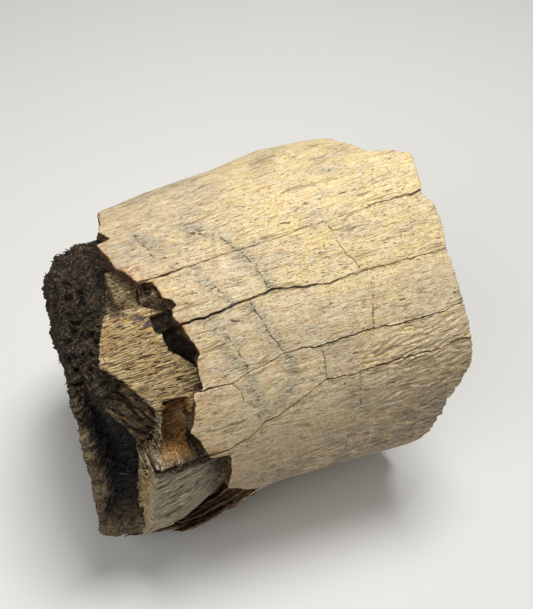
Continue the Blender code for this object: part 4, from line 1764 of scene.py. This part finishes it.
    def _ridges(self, along: Array, arc: Array, bend: Array, grain: Noise) -> tuple[Array, Array]:
        """Works out the lengthwise ridges of the bared bone.

        Args:
            along: places along X.
            arc: places round the shaft, in mm.
            bend: how far each place's ridge wanders sideways.
            grain: the layer's noise.

        Returns:
            How far each place is in a gap between ridges, and its depth in mm.
        """
        lines = spots(along / self.ridge_length, arc / self.ridge_width + bend, 0.0)
        ridge = grain.layered(lines, 2, 0.5)
        open_here = rise(grain.smooth(lines * (2.2, 0.6, 1.0) + 23.0), -0.55, 0.15)
        gap = within(np.abs(ridge), 0.11, 0.1) * open_here
        fine = grain.layered(spots(along / 2.0, arc / 0.5 + bend, 6.0), 2)
        broad = grain.layered(spots(along / 4.0, arc / 2.2 + bend, 9.0), 3)
        return gap, 0.34 * gap - 0.13 * np.abs(ridge) + 0.09 * fine + 0.18 * broad

    def _streaks(self, along: Array, arc: Array, bend: Array, grain: Noise) -> Array:
        """Works out the slope's slanting splinters.

        Args:
            along: places along X.
            arc: places round the shaft, in mm.
            bend: how far each place's splinter wanders sideways.
            grain: the layer's noise.

        Returns:
            Heights from about -1 to 1, where 1 is deepest.
        """
        across = (along * 0.83 + arc * 0.56) / 1.9
        down = (along * 0.56 - arc * 0.83) / 6.5
        lines = spots(across + 0.35 * bend, down, 0.0)
        coarse = grain.smooth(lines)
        return 0.75 * (1.0 - 2.2 * np.abs(coarse)) * 0.6 + 0.6 * grain.layered(lines * 2.3 + 5.0, 3, 0.6)


@dataclass(frozen=True)
class SpongyCore:
    """The dark, spongy bone of the broken end, from under the inner layer to its middle."""

    front: tuple[float, float, float] = (-60.0, 160.0, 0.5)
    back: tuple[float, float, float] = (160.0, 300.0, 1.0)
    trough_rows: int = 48
    end_rows: int = 88
    hidden: float = 3.0
    strand: float = 2.2
    waves: tuple[tuple[float, float], ...] = ((7.0, 1.1), (3.6, 0.5))
    profile: Path = (
        (0.0, -0.8), (0.18, -0.6), (0.36, 0.0), (0.54, 0.7), (0.7, 1.2), (0.84, 1.2), (0.95, 0.7), (1.0, 0.0),
    )

    def build(self, finishes: list[Material]) -> Object:
        """Makes the spongy core, in its one finish."""
        return self._skin().build("spongy_core", finishes)

    def _plain(self) -> tuple[Array, Array, Array]:
        """Lays out the core without its relief.

        Returns:
            Points, the share of the way from the inner layer to the middle, and angles.
        """
        turn = np.concatenate([np.arange(*self.front), np.arange(*self.back)])
        dark = read(DARK_EDGE, turn) + self.hidden
        lip = read(END_LIP, turn)
        share = np.linspace(0.0, 1.0, self.trough_rows)[:, None]
        along = dark + (lip - dark) * share
        inner = rise(share, 0.25, 1.0)
        depth = read(DARK_DEPTH, turn) * (1.0 - inner) + read(LIP_DEPTH, turn) * inner
        depth = depth + read(TROUGH_DEPTH, turn) * 4.0 * inner * (1.0 - inner)
        angle = in_rows(turn, self.trough_rows)
        trough = SHAFT.place(along, angle, depth)
        reach = np.linspace(1.0, 0.0, self.end_rows + 1)[1:, None]
        points = np.concatenate([trough, dish(trough[-1], reach, -follow(self.profile, reach))])
        way = np.concatenate([share * 0.3, 1.0 - 0.7 * reach])
        angle = in_rows(turn, len(points))
        return points, np.broadcast_to(way, angle.shape), angle

    def _skin(self) -> Skin:
        """Lays out the core's points with their relief.

        Returns:
            The core's grid, closed round the shaft.
        """
        points, way, angle = self._plain()
        out = facing(points, True)
        if np.sum(out * (points - points.mean(axis=(0, 1)))) < 0.0:
            out = -out
        points = points + out * (lumps(points, self.waves) * np.minimum(1.0, way * 8.0))[..., None]
        grain = Noise(51)
        swirl = spots(*(grain.smooth(points / 5.0 + axis * 13.0) for axis in range(3)))
        curl = spots(*(grain.smooth(points / 2.1 + axis * 19.0) for axis in range(3)))
        spot = (points * (0.75, 1.0, 1.0) + 1.4 * swirl + 0.6 * curl) / self.strand
        strands = 1.0 - np.abs(grain.smooth(spot)) * 2.2
        knots = 1.0 - np.abs(grain.smooth(spot * 1.9 + 40.0)) * 2.2
        broad = grain.layered(points / 4.2 + 7.0, 3)
        holes = rise(grain.layered(spot * (1.3, 0.7, 0.7) + 80.0, 3, 0.65), 0.25, 0.6)
        hollow = self._hollow(way, angle)
        pale = self._pale(way, angle)
        fine = grain.layered(points / (1.6, 1.0, 1.0) + 30.0, 3, 0.65)
        height = (1.0 - 0.6 * hollow - 0.7 * pale) * (0.75 * strands + 0.45 * knots - 0.6 * holes - 0.4)
        height += 0.3 * pale * fine
        height += 0.6 * broad + 0.5 * pale - 0.6 * hollow
        height += hollow * 0.3 * grain.layered(spot * (0.7, 1.6, 1.6), 3, 0.65)
        height *= np.minimum(1.0, (1.0 - way) * 12.0) ** 0.5
        moved = points + out * height[..., None]
        moved[..., 2] = np.maximum(moved[..., 2], 0.0)
        moved[-1] = moved[-1].mean(axis=0)
        # Crests are worn tan and, towards the top, painted highlight; the hollow and crevices take painted
        # shade, and the hollow a painted sheen.
        crest = rise(0.6 * strands + 0.4 * knots, 0.35, 0.85) * (1.0 - 0.75 * hollow) * (1.0 - holes)
        upper = 0.3 + 0.7 * rise(moved[..., 2], 40.0, 60.0)
        crevice = np.maximum(rise(-0.6 * strands - 0.4 * knots, -0.25, 0.3), 0.9 * holes)
        crevice = crevice * (1.0 - 0.65 * pale)
        masks = {
            Mask.CRACK: crevice, Mask.CREST: crest * upper, Mask.PALE: pale,
            Mask.COOL: hollow, Mask.DEEP: hollow + 0.35 * crevice,
        }
        rows, columns = crest.shape
        lay = points + 1.4 * swirl + 0.5 * curl
        return Skin(moved, lay, masks, wheel_map(rows, columns), columns_closed=True)

    def _hollow(self, way: Array, angle: Array) -> Array:
        """Gives the black hollow beside the slope, as shares."""
        side = within(np.abs(angle - 8.0), 34.0, 18.0)
        return side * rise(way, 0.02, 0.08) * within(way, 0.27, 0.08)

    def _pale(self, way: Array, angle: Array) -> Array:
        """Works out where the core is paler: the brown lip, and its lower end.

        Args:
            way: the share of the way from the inner layer to the middle.
            angle: angles round the shaft.

        Returns:
            Shares from 0 to 1.
        """
        lip = within(np.abs(angle + 5.0), 60.0, 40.0) * within(np.abs(way - 0.33), 0.11, 0.06)
        low = within(np.abs(angle + 46.0), 30.0, 16.0) * within(way, 0.45, 0.1)
        return np.clip(lip + low, 0.0, 1.0)


@dataclass(frozen=True)
class FarBreak:
    """The far end: a rough break across the shaft, layered at its rim and porous inside."""

    columns: int = 480
    hidden_rows: int = 8
    rows: int = 84
    depth: float = 3.6
    hidden: float = 11.0
    waves: tuple[tuple[float, float], ...] = ((9.0, 1.3), (4.5, 0.6))
    profile: Path = (
        (0.0, -5.6), (0.22, -6.2), (0.42, -5.0), (0.6, -6.0), (0.76, -4.6), (0.84, -1.6), (0.93, -0.8),
        (1.0, -0.2),
    )

    def build(self, finishes: list[Material]) -> Object:
        """Makes the far break, in its one finish."""
        return self._skin().build("far_break", finishes)

    def _skin(self) -> Skin:
        """Lays out the break's points with their relief.

        Returns:
            The break's grid, closed round the shaft.
        """
        turn = -180.0 + 360.0 * np.arange(self.columns) / self.columns
        far = read(FAR_RIM, turn)
        back = np.linspace(self.hidden, 0.3, self.hidden_rows)[:, None]
        first = SHAFT.place(far - back, in_rows(turn, self.hidden_rows), self.depth)
        widest = 1.0 - self.depth / SHAFT.mean_radius
        reach = np.linspace(widest, 0.0, self.rows)[:, None]
        face = dish(SHAFT.place(far, turn, 0.0), reach, follow(self.profile, reach))
        points = np.concatenate([first, face])
        share = np.concatenate([np.full((self.hidden_rows, 1), widest), reach])
        share = np.broadcast_to(share, points.shape[:2])
        visible = np.concatenate([np.zeros(self.hidden_rows), np.ones(self.rows)])[:, None]
        grain = Noise(61)
        cortex = rise(share, 0.72, 0.8)
        near, second = grain.cells(points / (3.2, 1.7, 1.7))
        pore = rise(second - near, 0.05, 0.4)
        layers = grain.layered(spots(share * 26.0, 0.0, share * 3.0) + points / 9.0, 3, 0.6)
        height = lumps(points, self.waves) * np.minimum(1.0, (1.0 - share) * 4.0 + 0.25)
        height += (1.0 - cortex) * (0.55 * (0.5 - pore) + 0.6 * grain.layered(points / 3.0, 3))
        height += cortex * (0.5 * layers + 0.35 * grain.layered(points / 1.3 + 8.0, 3, 0.6))
        points[..., 0] += height * visible
        points[-1] = points[-1].mean(axis=0)
        crevice = (1.0 - cortex) * rise(pore, 0.4, 1.0) * 0.8 + cortex * rise(-layers, 0.1, 0.5) * 0.6
        crest = (1.0 - cortex) * (1.0 - pore)
        masks = {Mask.CRACK: crevice, Mask.CREST: crest, Mask.DEEP: 1.0 - cortex}
        rows, columns = crest.shape
        return Skin(points, points, masks, wheel_map(rows, columns), columns_closed=True)


@dataclass(frozen=True)
class Scatter:
    """Loose bits, spread over a piece by Geometry Nodes.

    Attributes:
        name: what the piece that they make is called.
        sides: how many sides each bit has.
        rings: how many rings it has from end to end.
        slim: its width as a share of its length.
        bow: how far it bows, as a share of its length.
        roughness: how far its corners are off, as a share of its width.
        density: how many lie on a square metre where their mask is full.
        size: their length in metres, and spread how far that varies from one to another.
        lift: how steeply they stand off the surface, from 0, lying flat, to 1 and over.
        stray: how far they turn from the way the bone's fibres flow.
        mask: the share of the surface that they lie on.
        seed: what fixes them.
    """

    name: str
    sides: int
    rings: int
    slim: float
    bow: float
    roughness: float
    density: float
    size: float
    spread: float
    lift: float
    stray: float
    mask: Mask
    seed: int

    def build(self, host: Object, finish: Material) -> Object:
        """Spreads the bits over a piece.

        Args:
            host: the piece that they lie on. It holds their mask and a "flow" direction.
            finish: their material.

        Returns:
            The bits as one plain mesh.
        """
        bit = self._bit()
        carrier = bpy.data.objects.new(self.name + "_carrier", host.data.copy())
        bpy.context.scene.collection.objects.link(carrier)
        tree = self._tree()
        modifier = carrier.modifiers.new(self.name, "NODES")
        modifier.node_group = tree
        values = {
            "Density": self.density, "Size": self.size, "Size Spread": self.spread, "Lift": self.lift,
            "Stray": self.stray, "Seed": self.seed, "Bit": bit, "Finish": finish,
        }
        for socket in tree.interface.items_tree:
            if socket.in_out == "INPUT" and socket.name in values:
                modifier[socket.identifier] = values[socket.name]
        graph = bpy.context.evaluated_depsgraph_get()
        mesh = bpy.data.meshes.new_from_object(carrier.evaluated_get(graph))
        mesh.name = self.name
        carrier.modifiers.remove(modifier)
        bpy.data.objects.remove(carrier, do_unlink=True)
        bpy.data.objects.remove(bit, do_unlink=True)
        mesh.materials.clear()
        mesh.materials.append(finish)
        piece = bpy.data.objects.new(self.name, mesh)
        bpy.context.scene.collection.objects.link(piece)
        return piece

    def _bit(self) -> Object:
        """Makes the one bit that is repeated: a closed, bowed, tapered rod.

        Returns:
            A rod of unit length, along Z.
        """
        draw = np.random.default_rng(self.seed)
        reach = np.linspace(-0.5, 0.5, self.rings)
        turn = 2.0 * np.pi * np.arange(self.sides) / self.sides
        width = self.slim * np.sqrt(np.maximum(1.0 - (2.0 * reach) ** 2 * 0.85, 0.02)) / 2.0
        off = 1.0 + self.roughness * draw.uniform(-1.0, 1.0, (self.rings, self.sides))
        x = width[:, None] * np.cos(turn) * off + self.bow * (1.0 - (2.0 * reach[:, None]) ** 2)
        y = width[:, None] * np.sin(turn) * off
        points = spots(x, y, reach[:, None]).reshape(-1, 3)
        faces = []
        for ring, side in itertools.product(range(self.rings - 1), range(self.sides)):
            here, beyond = ring * self.sides, (ring + 1) * self.sides
            following = (side + 1) % self.sides
            faces.append((here + side, here + following, beyond + following, beyond + side))
        faces.append(tuple(range(self.sides))[::-1])
        faces.append(tuple((self.rings - 1) * self.sides + side for side in range(self.sides)))
        mesh = bpy.data.meshes.new(self.name + "_bit")
        mesh.from_pydata(points.tolist(), [], faces)
        bit = bpy.data.objects.new(self.name + "_bit", mesh)
        bpy.context.scene.collection.objects.link(bit)
        return bit

    def _tree(self) -> NodeTree:
        """Builds the tree that spreads the bits.

        Returns:
            A tree with named inputs for the bits' number, size, lean and seed.
        """
        tree = bpy.data.node_groups.new(self.name, "GeometryNodeTree")
        inputs = {
            "Geometry": "NodeSocketGeometry", "Density": "NodeSocketFloat", "Size": "NodeSocketFloat",
            "Size Spread": "NodeSocketFloat", "Lift": "NodeSocketFloat", "Stray": "NodeSocketFloat",
            "Seed": "NodeSocketInt", "Bit": "NodeSocketObject", "Finish": "NodeSocketMaterial",
        }
        for name, kind in inputs.items():
            tree.interface.new_socket(name, in_out="INPUT", socket_type=kind)
        tree.interface.new_socket("Geometry", in_out="OUTPUT", socket_type="NodeSocketGeometry")
        add = partial(add_node, tree)
        given = add("NodeGroupInput").outputs
        reader = "GeometryNodeInputNamedAttribute"
        mask = add(reader, {"Name": self.mask.value}, data_type="FLOAT").outputs["Attribute"]
        dense = add("ShaderNodeMath", {0: given["Density"], 1: mask}, operation="MULTIPLY").outputs[0]
        spread = add(
            "GeometryNodeDistributePointsOnFaces",
            {"Mesh": given["Geometry"], "Density": dense, "Seed": given["Seed"]},
        ).outputs
        # Each bit leans along the fibres' flow, off the surface, and to one side by chance.
        flow = add(reader, {"Name": "flow"}, data_type="FLOAT_VECTOR").outputs["Attribute"]
        straight = add("ShaderNodeVectorMath", {0: flow}, operation="NORMALIZE").outputs[0]
        off = {0: spread["Normal"], "Scale": given["Lift"]}
        raised = add("ShaderNodeVectorMath", off, operation="SCALE").outputs[0]
        any_way = {"Min": (-1.0,) * 3, "Max": (1.0,) * 3, "Seed": given["Seed"]}
        chance = add("FunctionNodeRandomValue", any_way, data_type="FLOAT_VECTOR").outputs["Value"]
        both = {0: spread["Normal"], 1: chance}
        sideways = add("ShaderNodeVectorMath", both, operation="CROSS_PRODUCT").outputs[0]
        aside = {0: sideways, "Scale": given["Stray"]}
        turned = add("ShaderNodeVectorMath", aside, operation="SCALE").outputs[0]
        lean = add("ShaderNodeVectorMath", {0: straight, 1: raised}, operation="ADD").outputs[0]
        lean = add("ShaderNodeVectorMath", {0: lean, 1: turned}, operation="ADD").outputs[0]
        rotation = add("FunctionNodeAlignRotationToVector", {"Vector": lean}, axis="Z").outputs["Rotation"]
        limits = {0: 1.0, 1: given["Size Spread"]}
        smallest = add("ShaderNodeMath", limits, operation="SUBTRACT").outputs[0]
        largest = add("ShaderNodeMath", limits, operation="ADD").outputs[0]
        sizes = {"Min": smallest, "Max": largest, "Seed": given["Seed"]}
        factor = add("FunctionNodeRandomValue", sizes, data_type="FLOAT").outputs["Value"]
        scale = add("ShaderNodeMath", {0: factor, 1: given["Size"]}, operation="MULTIPLY").outputs[0]
        shape = add("GeometryNodeObjectInfo", {"Object": given["Bit"]}).outputs["Geometry"]
        placed = add(
            "GeometryNodeInstanceOnPoints",
            {"Points": spread["Points"], "Instance": shape, "Rotation": rotation, "Scale": scale},
        ).outputs["Instances"]
        real = add("GeometryNodeRealizeInstances", {"Geometry": placed}).outputs["Geometry"]
        finished = {"Geometry": real, "Material": given["Finish"]}
        dressed = add("GeometryNodeSetMaterial", finished).outputs["Geometry"]
        add("NodeGroupOutput", {"Geometry": dressed})
        return tree


CORE_FIBRES = Scatter(
    "core_fibres", sides=4, rings=4, slim=0.15, bow=0.12, roughness=0.35, density=1.5e6,
    size=0.0013, spread=0.5, lift=0.16, stray=1.6, mask=Mask.CREST, seed=81,
)
HOLLOW_THREADS = Scatter(
    "hollow_threads", sides=4, rings=4, slim=0.035, bow=0.2, roughness=0.3, density=4.5e6,
    size=0.0026, spread=0.5, lift=0.25, stray=1.1, mask=Mask.COOL, seed=82,
)
LEDGE_CRUMBS = Scatter(
    "ledge_crumbs", sides=5, rings=3, slim=0.75, bow=0.05, roughness=0.4, density=1.5e6,
    size=0.00045, spread=0.6, lift=0.6, stray=1.2, mask=Mask.PALE, seed=83,
)
FAR_GRAINS = Scatter(
    "far_grains", sides=5, rings=3, slim=0.6, bow=0.05, roughness=0.4, density=0.7e6,
    size=0.0010, spread=0.6, lift=0.5, stray=1.0, mask=Mask.CREST, seed=84,
)


@dataclass(frozen=True)
class Splinters:
    """Thin, ragged sheets of cortex that stick out from under the lower plate's slanting rim.

    Each sheet is (from angle, to angle, how far it sticks out, depth, tilt of its depth for
    each mm outwards).
    """

    sheets: tuple[tuple[float, float, float, float, float], ...] = (
        (-58.0, -31.0, 14.0, 0.1, 0.0),
        (-53.0, -30.0, 10.5, 1.5, 0.04),
        (-60.0, -35.0, 17.0, 2.5, 0.02),
        (-46.0, -26.0, 7.0, 3.6, -0.03),
    )
    thickness: float = 0.5
    step: float = 0.3
    rooted: float = 3.0
    seed: int = 71

    def build(self, finishes: list[Material]) -> list[Object]:
        """Makes every sheet, in the broken finish."""
        skins = [self._skin(sheet, number) for number, sheet in enumerate(self.sheets)]
        return [skin.build(f"splinter_{number + 1}", finishes) for number, skin in enumerate(skins)]

    def _skin(self, sheet: tuple[float, ...], number: int) -> Skin:
        """Lays out one sheet: its upper face, then its lower one back again.

        Args:
            sheet: its bounds, reach, depth and tilt.
            number: its place in the list.

        Returns:
            The sheet's grid, closed through its edges.
        """
        low, high, reach, depth, tilt = sheet
        grain = Noise(self.seed + number)
        count = round((high - low) * SHAFT.arc_per_degree / self.step)
        turn = np.linspace(low, high, count)
        arc = turn * SHAFT.arc_per_degree
        rim = read(RAGGED_RIM, turn)
        taper = 1.0 - np.abs((turn - low) / (high - low) * 2.0 - 1.0) ** 3
        fine = grain.layered(spots(arc / 1.3, 0.0, 0.0), 4, 0.7)
        tab = grain.smooth(spots(7.7 * np.floor(arc / 2.3 + 0.4 * fine), 0.0, 0.0))
        start = rim - reach * taper * (0.8 + 0.6 * tab) - 1.1 * fine
        rows = round((self.rooted + reach) / self.step)
        share = np.linspace(0.0, 1.0, rows)[:, None]
        along = start + (rim + self.rooted - start) * share
        angle = in_rows(turn, rows)
        spot = spots(along / 2.2, angle * SHAFT.arc_per_degree / 1.9, 0.0)
        upper = depth - tilt * (along - rim) + 0.85 * grain.layered(spot, 4, 0.6)
        thin = self.thickness * np.minimum(1.0, 0.15 + share * 5.0)
        lower = upper + thin + 0.1 * grain.layered(spot + 8.0, 3)
        edge = np.exp(-np.abs(along - start) / 0.3)
        edge = np.concatenate([edge, edge[::-1]])
        along = np.concatenate([along, along[::-1]])
        angle = np.concatenate([angle, angle[::-1]])
        depths = np.concatenate([upper, lower[::-1]])
        masks = {Mask.PALE: 0.75 * edge}
        return Skin(
            SHAFT.place(along, angle, depths), SHAFT.lay(along, angle, depths), masks,
            grid_map(len(along), count), rows_closed=True,
        )


@dataclass(frozen=True)
class Studio:
    """A pale floor, soft light and the camera."""

    camera_place: Point = (-0.03734, -0.11363, 0.1825)
    camera_pitch: float = 40.5
    camera_turn: float = -21.5
    lens: float = 53.2
    sensor: float = 36.0
    floor_size: float = 4.0
    floor_colour: str = "D9D8D4"
    floor_roughness: float = 0.8
    aim: Point = (0.0, 0.0, 0.03)
    key: Point = (0.065, 0.03, 0.405)
    key_size: float = 0.15
    key_watts: float = 1.46
    fill: Point = (-0.3, -0.15, 0.33)
    fill_size: float = 0.35
    fill_watts: float = 0.8
    sky: tuple[float, float, float, float] = (1.0, 0.98, 0.96, 1.0)
    sky_strength: float = 0.18

    def build(self) -> None:
        """Sets up the floor, the lights, the world and the camera."""
        self._floor()
        self._light("key", self.key, self.key_size, self.key_watts)
        self._light("fill", self.fill, self.fill_size, self.fill_watts)
        world = bpy.data.worlds.new("studio")
        world.use_nodes = True
        sky = world.node_tree.nodes["Background"].inputs
        sky["Color"].default_value = self.sky
        sky["Strength"].default_value = self.sky_strength
        bpy.context.scene.world = world
        bpy.context.scene.view_settings.view_transform = "Standard"
        data = bpy.data.cameras.new("camera")
        data.lens = self.lens
        data.sensor_width = self.sensor
        data.clip_start = 0.005
        camera = bpy.data.objects.new("camera", data)
        camera.location = self.camera_place
        camera.rotation_euler = (np.radians(self.camera_pitch), 0.0, np.radians(self.camera_turn))
        bpy.context.scene.collection.objects.link(camera)
        bpy.context.scene.camera = camera

    def _floor(self) -> None:
        """Lays a plain, pale floor."""
        half = self.floor_size / 2.0
        mesh = bpy.data.meshes.new("floor")
        corners = [(-half, -half, 0.0), (half, -half, 0.0), (half, half, 0.0), (-half, half, 0.0)]
        mesh.from_pydata(corners, [], [(0, 1, 2, 3)])
        material = bpy.data.materials.new("pale_floor")
        material.use_nodes = True
        shader = material.node_tree.nodes["Principled BSDF"]
        shader.inputs["Base Color"].default_value = linear(self.floor_colour)
        shader.inputs["Roughness"].default_value = self.floor_roughness
        mesh.materials.append(material)
        floor = bpy.data.objects.new("floor", mesh)
        bpy.context.scene.collection.objects.link(floor)
        floor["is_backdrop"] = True

    def _light(self, name: str, place: Point, size: float, watts: float) -> None:
        """Adds a square, soft light that faces the bone.

        Args:
            name: what it is called.
            place: where it hangs.
            size: its side in metres.
            watts: its power.
        """
        data = bpy.data.lights.new(name, "AREA")
        data.size = size
        data.energy = watts
        light = bpy.data.objects.new(name, data)
        light.location = place
        light.rotation_euler = (Vector(self.aim) - Vector(place)).to_track_quat("-Z", "Y").to_euler()
        bpy.context.scene.collection.objects.link(light)


def settle(piece: Object) -> None:
    """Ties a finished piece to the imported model.

    Args:
        piece: the finished piece.
    """
    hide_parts(NODE)
    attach(piece, BODY)
    count = sum(len(face.vertices) - 2 for face in piece.data.polygons)
    LOG.info("%s: %d triangles", piece.name, count)


def main() -> None:
    """Builds the studio and every piece."""
    logging.basicConfig(level=logging.INFO, format="%(message)s")
    model_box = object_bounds()
    Studio().build()
    weathered = WEATHERED_CORTEX.build()
    broken = BROKEN_CORTEX.build()
    bared = BARED_CORTEX.build()
    inner = InnerLayer().build([bared, broken])
    core = SpongyCore().build([SPONGY_BONE.build()])
    far = FarBreak().build([CROSS_BREAK.build()])
    pieces = OuterLayer().build([weathered, broken]) + Splinters().build([broken])
    pieces += [inner, core, far]
    pieces.append(CORE_FIBRES.build(core, FIBRE_BONE.build()))
    pieces.append(HOLLOW_THREADS.build(core, THREAD_BONE.build()))
    crumbs = CRUMB_BONE.build()
    pieces.append(LEDGE_CRUMBS.build(inner, crumbs))
    pieces.append(FAR_GRAINS.build(far, crumbs))
    for piece in pieces:
        settle(piece)
    sizes = {"model": model_box, "visual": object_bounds()}
    plain = {name: [list(corner) for corner in box] for name, box in sizes.items()}


if __name__ == "__main__":
    main()
